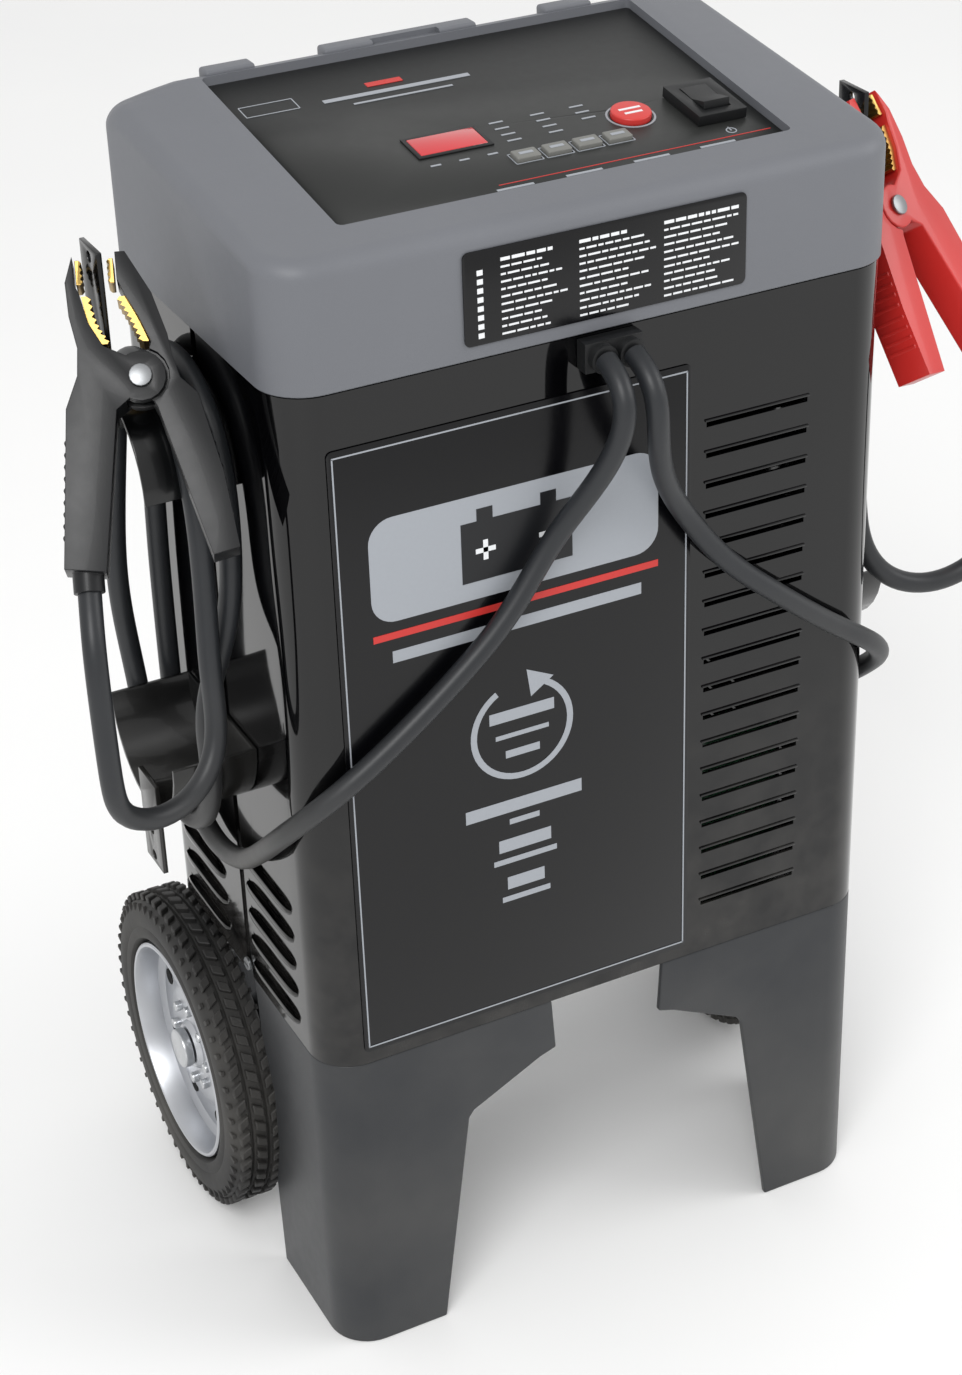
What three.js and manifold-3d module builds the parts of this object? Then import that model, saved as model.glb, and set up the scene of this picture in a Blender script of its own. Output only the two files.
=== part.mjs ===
// A wheeled workshop battery charger, in millimetres, +Z up.
// It stands on two front legs and two rear wheels; its front looks along -Y and its leads end in two clamps.
import * as THREE from "three";
import { mergeVertices } from "three/addons/utils/BufferGeometryUtils.js";
import Module from "manifold-3d";

const wasm = await Module();
wasm.setup();

// ---------------------------------------------------------------- driving dimensions

const fit = 0.3; // clearance between pieces that touch

const body = {
  width: 310,
  depth: 200,
  bottom: 182,
  top: 537.5,
  corner: 22,
  sheet: 1.5,
  seamY: -5,
  seamGap: 6,
  lap: 8, // how far the rear sheet runs in behind the front sheet
};
const louver = { count: 18, pitch: 15.7, height: 3, left: 54, right: 108.5, lowest: 211.8 };
const sideSlot = { count: 5, pitch: 16.4, height: 6, length: 58, front: -70, rear: 18, lowest: 194.5 };
const cover = {
  overhang: 1.2,
  gap: 0.5,
  frontHeight: 59,
  slope: 8.25, // degrees that the top falls towards the front
  wall: 3,
  nose: 9,
  backRound: 20,
  wingDrop: 7.5, // how far each wing's outer edge lies below its crest, at the back
  skirt: 16,
};
const panel = {
  width: 224,
  front: -75.5, // front edge of the recess, along y
  back: 73,
  recess: 4,
  thickness: 2,
};
const grip = { width: 80, depth: 24, height: 26, lugWidth: 26, lugHeight: 4.4, lugDepth: 11, lugFront: 84 };
const display = { x: -33, y: -19, width: 33, depth: 16, thickness: 3 };
const startButton = { x: 55.5, y: -28, diameter: 19, height: 3, travel: 1.2 };
const modeButton = { x: -7, y: -44.3, pitch: 15.4, width: 12, depth: 8, height: 2.4, travel: 0.8, count: 4 };
const rocker = {
  x: 90.8,
  y: -33.5,
  width: 25,
  length: 33,
  bezel: 5.3,
  slot: 14,
  slotLength: 23,
  swing: 16,
  pivotZ: 3,
  pin: 1.2,
};
const instructionPlate = {
  left: -68,
  right: 72,
  bottom: body.top + 7.5,
  top: body.top + 50.5,
  thickness: 0.6,
};
const frontLabel = { left: -135, right: 45.5, bottom: body.bottom + 7, top: body.top - 26, thickness: 0.5 };
const leg = {
  wall: 3.5,
  topWidth: 123,
  shoulder: 75,
  footWidth: 57,
  sideWidth: 82,
  sideTopWidth: 92,
};
const tray = { floor: 2, lip: 14 };
const wheel = { radius: 89, tyreWidth: 30, tyreDepth: 27, outerX: 177, y: 69.8, hubRadius: 13 };
const axle = { radius: 6, bracketX: 130, bracketWall: 3, bossRadius: 14 };
const gland = { x: 1.5, z: body.top - 8, width: 29, height: 14, block: 8, depth: 12.7, collar: 6.6 };
const cordGland = { x: -100, z: 216, radius: 11 };
const lead = { diameter: 10, spacing: 14 };
const hook = {
  saddleRadius: 42,
  wall: 2,
  reach: 2 + 4 * lead.diameter,
  tabWidth: 22,
  tabWall: 2.5,
  upperZ: body.top - 61.5,
  lowerZ: body.top - 199.5,
  upperTip: body.top + 46.5,
  lowerTip: body.top - 275.5,
};
const clamp = {
  biteZ: hook.upperTip - 10,
  thickness: 20,
  pivotAcross: 16.8,
  pivotDrop: 52,
  cheekRadius: 11,
  cheekWall: 2.5,
  handleEnd: 137,
  bootAcross: -12.8,
  jawMiddle: 1,
  jawGap: 10.5,
  pinRadius: 3,
  plateWall: 3,
};
// How each clamp hangs, in degrees: turned from square to its hook's tab, and leaning out to the front;
// and how many strands wide the wound part of its lead is.
const hanging = {
  left: { turn: 20, tilt: 38, strands: 2.6 },
  right: { turn: 24, tilt: 34, strands: 1.1 },
};
const fan = { size: 92, depth: 25, hub: 18, bladeRadius: 41, blades: 7, x: 60, z: 350 };
const transformer = { x: -70, y: 10, width: 110, depth: 60, height: 90, limb: 36, side: 18 };

// ---------------------------------------------------------------- derived places

const halfWidth = body.width / 2;
const halfDepth = body.depth / 2;
const coverBottom = body.top + cover.gap;
const slope = THREE.MathUtils.degToRad(cover.slope);
const crestAt = (y) => coverBottom + cover.frontHeight + (y + halfDepth) * Math.tan(slope);
const panelTopAt = (y) => crestAt(y) - panel.recess;
const floorAt = (y) => panelTopAt(y) - panel.thickness - fit;
const footprintMiddle = (wheel.y + wheel.radius - halfDepth - gland.depth - fit) / 2;

// ---------------------------------------------------------------- shape helpers

function toSolid(geometry) {
  const bare = geometry.index ? geometry.toNonIndexed() : geometry.clone();
  bare.deleteAttribute("normal");
  bare.deleteAttribute("uv");
  const merged = mergeVertices(bare, 1e-4);
  return new wasm.Manifold(
    new wasm.Mesh({
      numProp: 3,
      vertProperties: merged.attributes.position.array,
      triVerts: new Uint32Array(merged.index.array),
    }),
  );
}

function toGeometry(solid) {
  const mesh = solid.getMesh();
  const positions = new Float32Array(mesh.numVert * 3);
  for (let i = 0; i < mesh.numVert; i++) {
    const start = i * mesh.numProp;
    positions.set(mesh.vertProperties.subarray(start, start + 3), i * 3);
  }
  return new THREE.BufferGeometry()
    .setAttribute("position", new THREE.BufferAttribute(positions, 3))
    .setIndex(new THREE.BufferAttribute(new Uint32Array(mesh.triVerts), 1));
}

const join = (...solids) => solids.reduce((sum, next) => sum.add(next));
const cut = (base, ...tools) => tools.reduce((left, tool) => left.subtract(tool), base);

// A box between two corners.
function box([x0, y0, z0], [x1, y1, z1]) {
  const geometry = new THREE.BoxGeometry(x1 - x0, y1 - y0, z1 - z0);
  geometry.translate((x0 + x1) / 2, (y0 + y1) / 2, (z0 + z1) / 2);
  return toSolid(geometry);
}

// A round bar from one value of x, y or z to another; centre holds the other two coordinates.
function bar(axis, radius, from, to, centre, segments = 20) {
  const geometry = new THREE.CylinderGeometry(radius, radius, to - from, segments);
  geometry.translate(0, (from + to) / 2, 0);
  if (axis === "x") geometry.rotateZ(-Math.PI / 2).translate(0, centre[0], centre[1]);
  if (axis === "y") geometry.translate(centre[0], 0, centre[1]);
  if (axis === "z") geometry.rotateX(Math.PI / 2).translate(centre[0], centre[1], 0);
  return toSolid(geometry);
}

function outline(points) {
  return new THREE.Shape(points.map(([a, b]) => new THREE.Vector2(a, b)));
}

function roundedRectangle(width, depth, radius) {
  const shape = new THREE.Shape();
  const right = width / 2;
  const back = depth / 2;
  shape.absarc(right - radius, back - radius, radius, 0, Math.PI / 2);
  shape.absarc(radius - right, back - radius, radius, Math.PI / 2, Math.PI);
  shape.absarc(radius - right, radius - back, radius, Math.PI, 1.5 * Math.PI);
  shape.absarc(right - radius, radius - back, radius, 1.5 * Math.PI, 2 * Math.PI);
  return shape;
}

// A plan outline (x, y) raised from z = from to z = to.
function raise(shape, from, to, curveSegments = 5) {
  const geometry = new THREE.ExtrudeGeometry(shape, { depth: to - from, bevelEnabled: false, curveSegments });
  return toSolid(geometry.translate(0, 0, from));
}

// A side outline (y, z) drawn out from x = from to x = to.
function drawAlongX(shape, from, to, curveSegments = 6) {
  const geometry = new THREE.ExtrudeGeometry(shape, { depth: to - from, bevelEnabled: false, curveSegments });
  geometry.rotateX(Math.PI / 2).rotateZ(Math.PI / 2);
  return toSolid(geometry.translate(from, 0, 0));
}

// A front outline (x, z) drawn out from y = from to y = to.
function drawAlongY(shape, from, to, curveSegments = 6) {
  const geometry = new THREE.ExtrudeGeometry(shape, { depth: to - from, bevelEnabled: false, curveSegments });
  geometry.rotateX(Math.PI / 2);
  return toSolid(geometry.translate(0, to, 0));
}

// A profile of (radius, x) points turned about an axis along x through y, z.
function turnAboutX(profile, y, z, segments = 28) {
  const points = profile.map(([radius, x]) => new THREE.Vector2(radius, x));
  const geometry = new THREE.LatheGeometry(points, segments);
  geometry.rotateZ(-Math.PI / 2).translate(0, y, z);
  return toSolid(geometry);
}

// A tube along a smooth curve through the points, with a step about every three diameters.
function tube(points, diameter, sides = 8) {
  const curve = new THREE.CatmullRomCurve3(points.map((p) => new THREE.Vector3(...p)));
  const section = new THREE.Shape();
  for (let i = 0; i < sides; i++) {
    const angle = (2 * Math.PI * i) / sides;
    const corner = [(diameter / 2) * Math.cos(angle), (diameter / 2) * Math.sin(angle)];
    if (i === 0) section.moveTo(...corner);
    else section.lineTo(...corner);
  }
  const steps = Math.round(curve.getLength() / (3 * diameter));
  return toSolid(new THREE.ExtrudeGeometry(section, { steps, bevelEnabled: false, extrudePath: curve }));
}

// ---------------------------------------------------------------- materials

const paint = (color, roughness, metalness = 0) =>
  new THREE.MeshStandardMaterial({ color, roughness, metalness });
const finishes = {
  coverGrey: paint(0x878d92, 0.6),
  panelOlive: paint(0x4a4b47, 0.55),
  glossBlack: paint(0x0c0d0f, 0.12),
  charcoal: paint(0x3b3d3f, 0.6),
  blackPlastic: paint(0x1b1c1d, 0.5),
  redPlastic: paint(0xc9302c, 0.45),
  displayRed: paint(0xc8383a, 0.2),
  buttonGrey: paint(0x5a5b58, 0.5),
  labelNavy: paint(0x1c2130, 0.4),
  rubber: paint(0x1d1e20, 0.75),
  leadRubber: paint(0x2a2c2e, 0.55),
  zinc: paint(0xb9bcbd, 0.35, 1),
  steel: paint(0x8f9396, 0.4, 1),
  hookSteel: paint(0x18191a, 0.3),
  brass: paint(0xc8a55a, 0.35, 1),
  copper: paint(0xa8663c, 0.4, 1),
  board: paint(0x1f5b3a, 0.6),
};

const charger = new THREE.Group();
charger.position.y = -footprintMiddle;

function addPiece(name, solid, material, parent = charger) {
  const mesh = new THREE.Mesh(toGeometry(solid), material);
  mesh.name = name;
  parent.add(mesh);
  return mesh;
}

const sides = [
  { name: "left", sign: -1 },
  { name: "right", sign: 1 },
];

// A box given for the right-hand side, moved to the side that sign names.
function sideBox(sign, [x0, y0, z0], [x1, y1, z1]) {
  return sign > 0 ? box([x0, y0, z0], [x1, y1, z1]) : box([-x1, y0, z0], [-x0, y1, z1]);
}

// ---------------------------------------------------------------- housing sheets and tray

// An upright wall that follows the housing's outline, set in by inset.
function shell(inset, wall, from, to) {
  const ring = (by) => roundedRectangle(body.width - 2 * by, body.depth - 2 * by, body.corner - by);
  return cut(raise(ring(inset), from, to), raise(ring(inset + wall), from - 1, to + 1));
}

function sideSlots(sign, from) {
  return Array.from({ length: sideSlot.count }, (_, i) => {
    const z = sideSlot.lowest + i * sideSlot.pitch - sideSlot.height / 2;
    const reach = halfWidth + 1;
    return sideBox(sign, [reach - 3, from, z], [reach, from + sideSlot.length, z + sideSlot.height]);
  });
}

// The hole for the lead gland's neck, through whatever stands at the front wall.
function glandHole(clearance) {
  const half = gland.width / 2 - 4 + clearance;
  const rise = gland.height / 2 - 2 + clearance;
  return box([gland.x - half, -halfDepth - 1, gland.z - rise], [gland.x + half, -halfDepth + 12, gland.z + rise]);
}

function frontSheet() {
  const seam = body.seamY - body.seamGap / 2;
  const wrap = shell(0, body.sheet, body.bottom, body.top);
  const behind = box([-halfWidth - 1, seam, body.bottom - 1], [halfWidth + 1, halfDepth + 1, body.top + 1]);
  const slits = Array.from({ length: louver.count }, (_, i) => {
    const z = louver.lowest + i * louver.pitch - louver.height / 2;
    return box([louver.left, -halfDepth - 1, z], [louver.right, -halfDepth + 5, z + louver.height]);
  });
  const slots = sides.flatMap(({ sign }) => sideSlots(sign, sideSlot.front));
  return cut(wrap, behind, ...slits, ...slots, glandHole(fit));
}

function rearSheet() {
  const seam = body.seamY + body.seamGap / 2;
  const wrap = shell(0, body.sheet, body.bottom, body.top);
  const front = box([-halfWidth - 1, -halfDepth - 1, body.bottom - 1], [halfWidth + 1, seam, body.top + 1]);
  const lapFront = body.seamY - body.seamGap / 2 - body.lap;
  const lapFace = halfWidth - body.sheet - fit;
  const lapBottom = body.bottom + tray.lip + 4;
  const lapTop = body.top - cover.skirt - 4;
  const laps = sides.flatMap(({ sign }) => [
    sideBox(sign, [lapFace - body.sheet, lapFront, lapBottom], [lapFace, seam + body.sheet, lapTop]),
    sideBox(sign, [lapFace - body.sheet, seam, lapBottom], [halfWidth - 0.5, seam + body.sheet, lapTop]),
  ]);
  const slots = sides.flatMap(({ sign }) => sideSlots(sign, sideSlot.rear));
  const fanHole = bar("y", fan.bladeRadius + 2, halfDepth - 5, halfDepth + 1, [fan.x, fan.z], 36);
  const cordHole = bar("y", cordGland.radius, halfDepth - 5, halfDepth + 1, [cordGland.x, cordGland.z]);
  return cut(join(cut(wrap, front), ...laps), ...slots, fanHole, cordHole);
}

const seamScrew = { z: 189, shank: 1.7, head: 3.6 };

function baseTray() {
  const inset = body.sheet + fit;
  const rim = shell(inset, tray.floor, body.bottom, body.bottom + tray.lip);
  const plan = roundedRectangle(body.width - 2 * inset, body.depth - 2 * inset, body.corner - inset);
  const floor = raise(plan, body.bottom, body.bottom + tray.floor);
  const hole = bar("x", seamScrew.shank + fit, -halfWidth, halfWidth, [body.seamY, seamScrew.z], 16);
  return cut(join(rim, floor), hole);
}

addPiece("front_sheet", frontSheet(), finishes.glossBlack);
addPiece("rear_sheet", rearSheet(), finishes.glossBlack);
addPiece("base_tray", baseTray(), finishes.steel);

for (const { name, sign } of sides) {
  const place = [body.seamY, seamScrew.z];
  const span = (from, to) => (sign > 0 ? [from, to] : [-to, -from]);
  const shank = bar("x", seamScrew.shank, ...span(halfWidth - 6, halfWidth + fit + 1), place, 16);
  const head = bar("x", seamScrew.head, ...span(halfWidth + fit, halfWidth + fit + 2), place, 16);
  addPiece("seam_screw_" + name, join(shank, head), finishes.steel);
}

// ---------------------------------------------------------------- top cover

// The cover's side outline (y, z), pushed in by inset, with a round nose and a rounder back.
function coverProfile(inset) {
  const front = -halfDepth - cover.overhang + inset;
  const back = halfDepth + cover.overhang - inset;
  const nose = cover.nose - inset / 2;
  const round = cover.backRound - inset;
  const shape = new THREE.Shape();
  shape.moveTo(front, coverBottom - 1);
  shape.lineTo(back, coverBottom - 1);
  shape.lineTo(back, crestAt(back) - inset - round);
  shape.quadraticCurveTo(back, crestAt(back) - inset, back - round, crestAt(back - round) - inset);
  shape.lineTo(front + nose, crestAt(front + nose) - inset);
  shape.quadraticCurveTo(front, crestAt(front) - inset, front, crestAt(front) - inset - nose);
  return shape;
}

// Everything under the two wings, which fall away from the crest more and more towards the back.
function wingEnvelope(inset) {
  const half = halfWidth + cover.overhang - inset;
  const crest = panel.width / 2 + 5;
  const edge = 5;
  const shape = new THREE.Shape();
  shape.moveTo(-half, -75);
  shape.lineTo(half, -75);
  shape.lineTo(half, -edge);
  shape.quadraticCurveTo(half, 0, half - edge, 0);
  shape.lineTo(edge - half, 0);
  shape.quadraticCurveTo(-half, 0, -half, -edge);
  const length = body.depth + 60;
  const geometry = new THREE.ExtrudeGeometry(shape, { depth: length, bevelEnabled: false, curveSegments: 4 });
  geometry.rotateX(Math.PI / 2).translate(0, length / 2, 0);
  const places = geometry.attributes.position;
  for (let i = 0; i < places.count; i++) {
    const y = places.getY(i);
    const out = Math.max(0, (Math.abs(places.getX(i)) - crest) / (half - crest));
    const drop = cover.wingDrop * (0.5 + (0.5 * y) / halfDepth);
    places.setZ(i, places.getZ(i) + crestAt(y) - inset - out * drop);
  }
  return toSolid(geometry);
}

// A slab along the sloping panel; its heights are measured from the floor of the panel's recess.
function slopedSlab([x0, y0, h0], [x1, y1, h1]) {
  const geometry = new THREE.BoxGeometry(x1 - x0, (y1 - y0) / Math.cos(slope), h1 - h0);
  geometry.translate((x0 + x1) / 2, 0, (h0 + h1) / 2).rotateX(slope);
  const middle = (y0 + y1) / 2;
  return toSolid(geometry.translate(0, middle, floorAt(middle)));
}

// A square opening straight through the panel and the cover below it.
function panelHole(place, width, depth) {
  return slopedSlab(
    [place.x - width / 2, place.y - depth / 2, -14],
    [place.x + width / 2, place.y + depth / 2, 14],
  );
}

function panelRound(place, radius) {
  const geometry = new THREE.CylinderGeometry(radius, radius, 40, 40);
  return toSolid(geometry.rotateX(Math.PI / 2 + slope).translate(place.x, place.y, floorAt(place.y)));
}

const modeButtonPlaces = Array.from({ length: modeButton.count }, (_, i) => ({
  x: modeButton.x + i * modeButton.pitch,
  y: modeButton.y,
}));
const stem = 3;

function topCover() {
  const plan = (inset) =>
    roundedRectangle(
      body.width + 2 * (cover.overhang - inset),
      body.depth + 2 * (cover.overhang - inset),
      body.corner + cover.overhang - inset,
    );
  const form = (inset, from) =>
    raise(plan(inset), from, crestAt(halfDepth) + 30)
      .intersect(drawAlongX(coverProfile(inset), -halfWidth - 9, halfWidth + 9))
      .intersect(wingEnvelope(inset));
  const recess = slopedSlab([-panel.width / 2, panel.front, 0], [panel.width / 2, halfDepth + 20, 30]);
  const ceiling = slopedSlab(
    [-halfWidth - 9, -halfDepth - 60, -90],
    [halfWidth + 9, halfDepth + 60, -cover.wall],
  );
  const hollow = form(cover.wall + cover.overhang, coverBottom - 1).intersect(ceiling);
  const skirt = shell(body.sheet + fit, cover.wall, coverBottom - cover.skirt, coverBottom + 6);
  const flange = shell(-cover.overhang, cover.overhang + cover.wall + 2, coverBottom, coverBottom + 4);
  const lugs = [-1, 0, 1].map((place) => {
    const half = place === 0 ? grip.width / 2 : grip.lugWidth / 2;
    const centre = place * (panel.width / 2 - grip.lugWidth + 2);
    return slopedSlab(
      [centre - half, grip.lugFront, -1],
      [centre + half, grip.lugFront + grip.lugDepth, grip.lugHeight],
    );
  });
  const gripTop = floorAt(halfDepth) - cover.wall - 9;
  const gripFront = halfDepth + cover.overhang - grip.depth;
  const pocketWall = box(
    [-grip.width / 2 - cover.wall, gripFront - cover.wall, gripTop - grip.height - cover.wall],
    [grip.width / 2 + cover.wall, halfDepth - 1, gripTop + cover.wall],
  );
  const pocket = box(
    [-grip.width / 2, gripFront, gripTop - grip.height],
    [grip.width / 2, halfDepth + 5, gripTop],
  );
  return cut(
    join(cut(form(0, coverBottom), recess, hollow), skirt, flange, ...lugs, pocketWall),
    pocket,
    glandHole(fit),
    panelHole(display, display.width - 4, display.depth - 4),
    panelHole(rocker, rocker.slot + 4, rocker.slotLength + 4),
    panelRound(startButton, stem + fit),
    ...modeButtonPlaces.map((place) => panelHole(place, stem + 2 * fit, stem + 2 * fit)),
  );
}

function controlPanel() {
  const plate = slopedSlab(
    [-panel.width / 2 + fit, panel.front + fit, fit],
    [panel.width / 2 - fit, panel.back, fit + panel.thickness],
  );
  return cut(
    plate,
    panelHole(display, display.width + 2 * fit, display.depth + 2 * fit),
    panelHole(rocker, rocker.slot + 8, rocker.slotLength + 8),
    panelRound(startButton, startButton.diameter / 2 + fit),
    ...modeButtonPlaces.map((place) =>
      panelHole(place, modeButton.width + 2 * fit, modeButton.depth + 2 * fit),
    ),
  );
}

addPiece("top_cover", topCover(), finishes.coverGrey);
addPiece("control_panel", controlPanel(), finishes.panelOlive);

// ---------------------------------------------------------------- things on the panel

// A group whose own z axis stands square to the panel, with its origin on the panel's top face.
function onPanel({ x, y }) {
  const group = new THREE.Group();
  group.position.set(x, y, floorAt(y));
  group.rotation.x = slope;
  group.translateZ(panel.thickness + fit);
  charger.add(group);
  return group;
}

const recessFloor = -panel.thickness - fit;
const slab = (width, depth, from, to) => box([-width / 2, -depth / 2, from], [width / 2, depth / 2, to]);

addPiece(
  "display_lens",
  slab(display.width, display.depth, recessFloor + fit, recessFloor + fit + display.thickness),
  finishes.displayRed,
  onPanel(display),
);

const startBottom = recessFloor + fit + startButton.travel;
addPiece(
  "start_stop_button",
  join(
    bar("z", startButton.diameter / 2, startBottom, startButton.height, [0, 0], 40),
    bar("z", stem, recessFloor - cover.wall - 4, startBottom + 1, [0, 0], 16),
  ),
  finishes.redPlastic,
  onPanel(startButton),
);

modeButtonPlaces.forEach((place, i) => {
  const bottom = recessFloor + fit + modeButton.travel;
  const cap = slab(modeButton.width, modeButton.depth, bottom, modeButton.height);
  const post = slab(stem, stem, recessFloor - cover.wall - 4, bottom + 0.5);
  addPiece("mode_button_" + (i + 1), join(cap, post), finishes.buttonGrey, onPanel(place));
});

function switchBezel() {
  const wallDepth = 14;
  const frame = slab(rocker.width, rocker.length, fit, rocker.bezel);
  const housing = slab(rocker.slot + 3.4, rocker.slotLength + 3.4, -wallDepth - 2, fit + 1);
  const well = slab(rocker.slot, rocker.slotLength, -wallDepth, rocker.bezel + 1);
  const pinHole = bar("x", rocker.pin + fit, -rocker.slot / 2 - 2, rocker.slot / 2 + 2, [0, rocker.pivotZ], 16);
  return cut(join(frame, housing), well, pinHole);
}

// The rocker's side outline is a shallow V, turned so that its front end stands up.
function switchRocker() {
  const end = rocker.slotLength / 2 - 0.9;
  const profile = outline([
    [-end, -1.5],
    [0, -6],
    [end, -1.5],
    [end, 4.2],
    [0, 2.4],
    [-end, 4.2],
  ]);
  const paddle = drawAlongX(profile, fit - rocker.slot / 2, rocker.slot / 2 - fit);
  return join(paddle, bar("x", rocker.pin, -rocker.slot / 2 - 1.5, rocker.slot / 2 + 1.5, [0, 0], 16));
}

addPiece("switch_bezel", switchBezel(), finishes.blackPlastic, onPanel(rocker));
const rockerPivot = new THREE.Group();
rockerPivot.position.z = rocker.pivotZ;
rockerPivot.rotation.x = THREE.MathUtils.degToRad(-rocker.swing / 2);
const rockerPlace = onPanel(rocker);
rockerPlace.add(rockerPivot);
addPiece("switch_rocker", switchRocker(), finishes.blackPlastic, rockerPivot);

// ---------------------------------------------------------------- plates on the front

function frontPlate({ left, right, bottom, top, thickness }, wallY) {
  const shape = roundedRectangle(right - left, top - bottom, 3);
  const plate = drawAlongY(shape, wallY - fit - thickness, wallY - fit, 3);
  return plate.translate([(left + right) / 2, 0, (bottom + top) / 2]);
}

addPiece("instruction_plate", frontPlate(instructionPlate, -halfDepth - cover.overhang), finishes.labelNavy);
addPiece("front_label", frontPlate(frontLabel, -halfDepth), finishes.labelNavy);

// ---------------------------------------------------------------- legs

function frontLeg(sign) {
  const top = body.bottom - fit;
  const front = [
    [halfWidth + 1, -1],
    [halfWidth + 1, top + 1],
    [halfWidth - leg.topWidth, top + 1],
    [halfWidth - leg.topWidth - 2, 152],
    [halfWidth - leg.topWidth + 7, 149],
    [halfWidth - leg.shoulder - 3, 130],
    [halfWidth - leg.shoulder, 126],
    [halfWidth - leg.footWidth, -1],
  ].map(([x, z]) => [sign * x, z]);
  const side = [
    [-halfDepth - 1, -1],
    [-19, -1],
    [-16, 53],
    [-23, 80],
    [-23, 118],
    [-12, 150],
    [-9, top + 1],
    [-halfDepth - 1, top + 1],
  ];
  if (sign < 0) front.reverse();
  const frontFace = drawAlongY(outline(front), -halfDepth - 1, -halfDepth + body.corner + 1);
  const sideFace = sideBox(sign, [halfWidth - 8, -150, -10], [halfWidth + 1, 50, top + 10]).intersect(
    drawAlongX(outline(side), -halfWidth - 1, halfWidth + 1),
  );
  const walls = shell(0, leg.wall, 0, top).intersect(join(frontFace, sideFace));
  const plan = raise(roundedRectangle(body.width - 2, body.depth - 2, body.corner - 1), 0, top);
  const web = (z, reach) => {
    const corner = [
      [halfWidth, -halfDepth],
      [halfWidth, -halfDepth + reach],
      [halfWidth - reach, -halfDepth],
    ].map(([x, y]) => [sign * x, y]);
    if (sign < 0) corner.reverse();
    return raise(outline(corner), z, z + leg.wall).intersect(plan);
  };
  const cap = sideBox(
    sign,
    [halfWidth - leg.topWidth + 2, -halfDepth, top - leg.wall],
    [halfWidth, -12, top],
  ).intersect(plan);
  return join(walls, web(0, 54), web(68, 56), web(105, 60), cap);
}

for (const { name, sign } of sides) addPiece("leg_" + name, frontLeg(sign), finishes.charcoal);

// ---------------------------------------------------------------- axle and wheels

const hub = { inner: 150, outer: 168, dish: 165, web: 161 };

function axleBracket() {
  const top = body.bottom - fit;
  const plate = outline([
    [wheel.y - 40, top],
    [wheel.y - 14, wheel.radius - 12],
    [wheel.y - 6, wheel.radius - 18],
    [wheel.y + 6, wheel.radius - 18],
    [wheel.y + 14, wheel.radius - 12],
    [wheel.y + 27, top],
  ]);
  const web = drawAlongX(plate, axle.bracketX, axle.bracketX + axle.bracketWall);
  const foot = box([axle.bracketX - 22, wheel.y - 40, top - 3], [axle.bracketX + 3, wheel.y + 27, top]);
  const boss = bar("x", axle.bossRadius, axle.bracketX, hub.inner - fit, [wheel.y, wheel.radius]);
  const bore = bar("x", axle.radius + fit, axle.bracketX - 5, hub.inner + 5, [wheel.y, wheel.radius]);
  return cut(join(web, foot, boss), bore);
}

// A dished steel rim: hub, flat web and a deep outer lip.
function wheelRim() {
  const lip = wheel.radius - wheel.tyreDepth - 1;
  const profile = [
    [axle.radius + fit, hub.inner],
    [wheel.hubRadius, hub.inner],
    [wheel.hubRadius, hub.dish - 3],
    [30, hub.dish - 3],
    [36, hub.web - 3],
    [lip - 5, hub.web - 3],
    [lip - 5, wheel.outerX - wheel.tyreWidth + 1],
    [lip, wheel.outerX - wheel.tyreWidth + 1],
    [lip, wheel.outerX - 1],
    [lip - 2.5, wheel.outerX - 1],
    [lip - 5, hub.web],
    [36, hub.web],
    [30, hub.dish],
    [wheel.hubRadius, hub.dish],
    [wheel.hubRadius, hub.outer],
    [axle.radius + fit, hub.outer],
    [axle.radius + fit, hub.inner],
  ];
  return turnAboutX(profile, wheel.y, wheel.radius);
}

function tyre() {
  const inner = wheel.outerX - wheel.tyreWidth;
  const middle = wheel.outerX - wheel.tyreWidth / 2;
  const half = [
    [wheel.radius - wheel.tyreDepth - 0.7, -wheel.tyreWidth / 2 + 3],
    [wheel.radius - wheel.tyreDepth + 5, -wheel.tyreWidth / 2],
    [wheel.radius - 7, -wheel.tyreWidth / 2 + 0.5],
    [wheel.radius - 1, -wheel.tyreWidth / 2 + 4],
    [wheel.radius, -wheel.tyreWidth / 2 + 8],
    [wheel.radius, -2],
    [wheel.radius - 2.5, -1],
  ];
  const mirrored = [...half].reverse().map(([radius, x]) => [radius, -x]);
  const profile = [...half, ...mirrored, half[0]].map(([radius, x]) => [radius, middle + x]);
  return turnAboutX(profile, wheel.y, wheel.radius, 32);
}

const axlePlace = [wheel.y, wheel.radius];
const capEnd = hub.outer + 6;
addPiece("axle", bar("x", axle.radius, 3 - capEnd, capEnd - 3, axlePlace), finishes.zinc);

const rightSide = charger;
const leftSide = new THREE.Group();
leftSide.scale.x = -1;
charger.add(leftSide);
const sideGroups = [
  { name: "right", group: rightSide },
  { name: "left", group: leftSide },
];

for (const { name, group } of sideGroups) {
  addPiece("axle_bracket_" + name, axleBracket(), finishes.hookSteel, group);
  addPiece("wheel_rim_" + name, wheelRim(), finishes.zinc, group);
  addPiece("tyre_" + name, tyre(), finishes.rubber, group);
  const cap = cut(
    bar("x", 11, hub.outer + fit, capEnd, axlePlace),
    bar("x", axle.radius + fit, hub.outer - 1, capEnd - 3 + fit, axlePlace),
  );
  addPiece("axle_cap_" + name, cap, finishes.zinc, group);
}

// ---------------------------------------------------------------- inside the housing

const insideFloor = body.bottom + tray.floor + fit;

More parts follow.
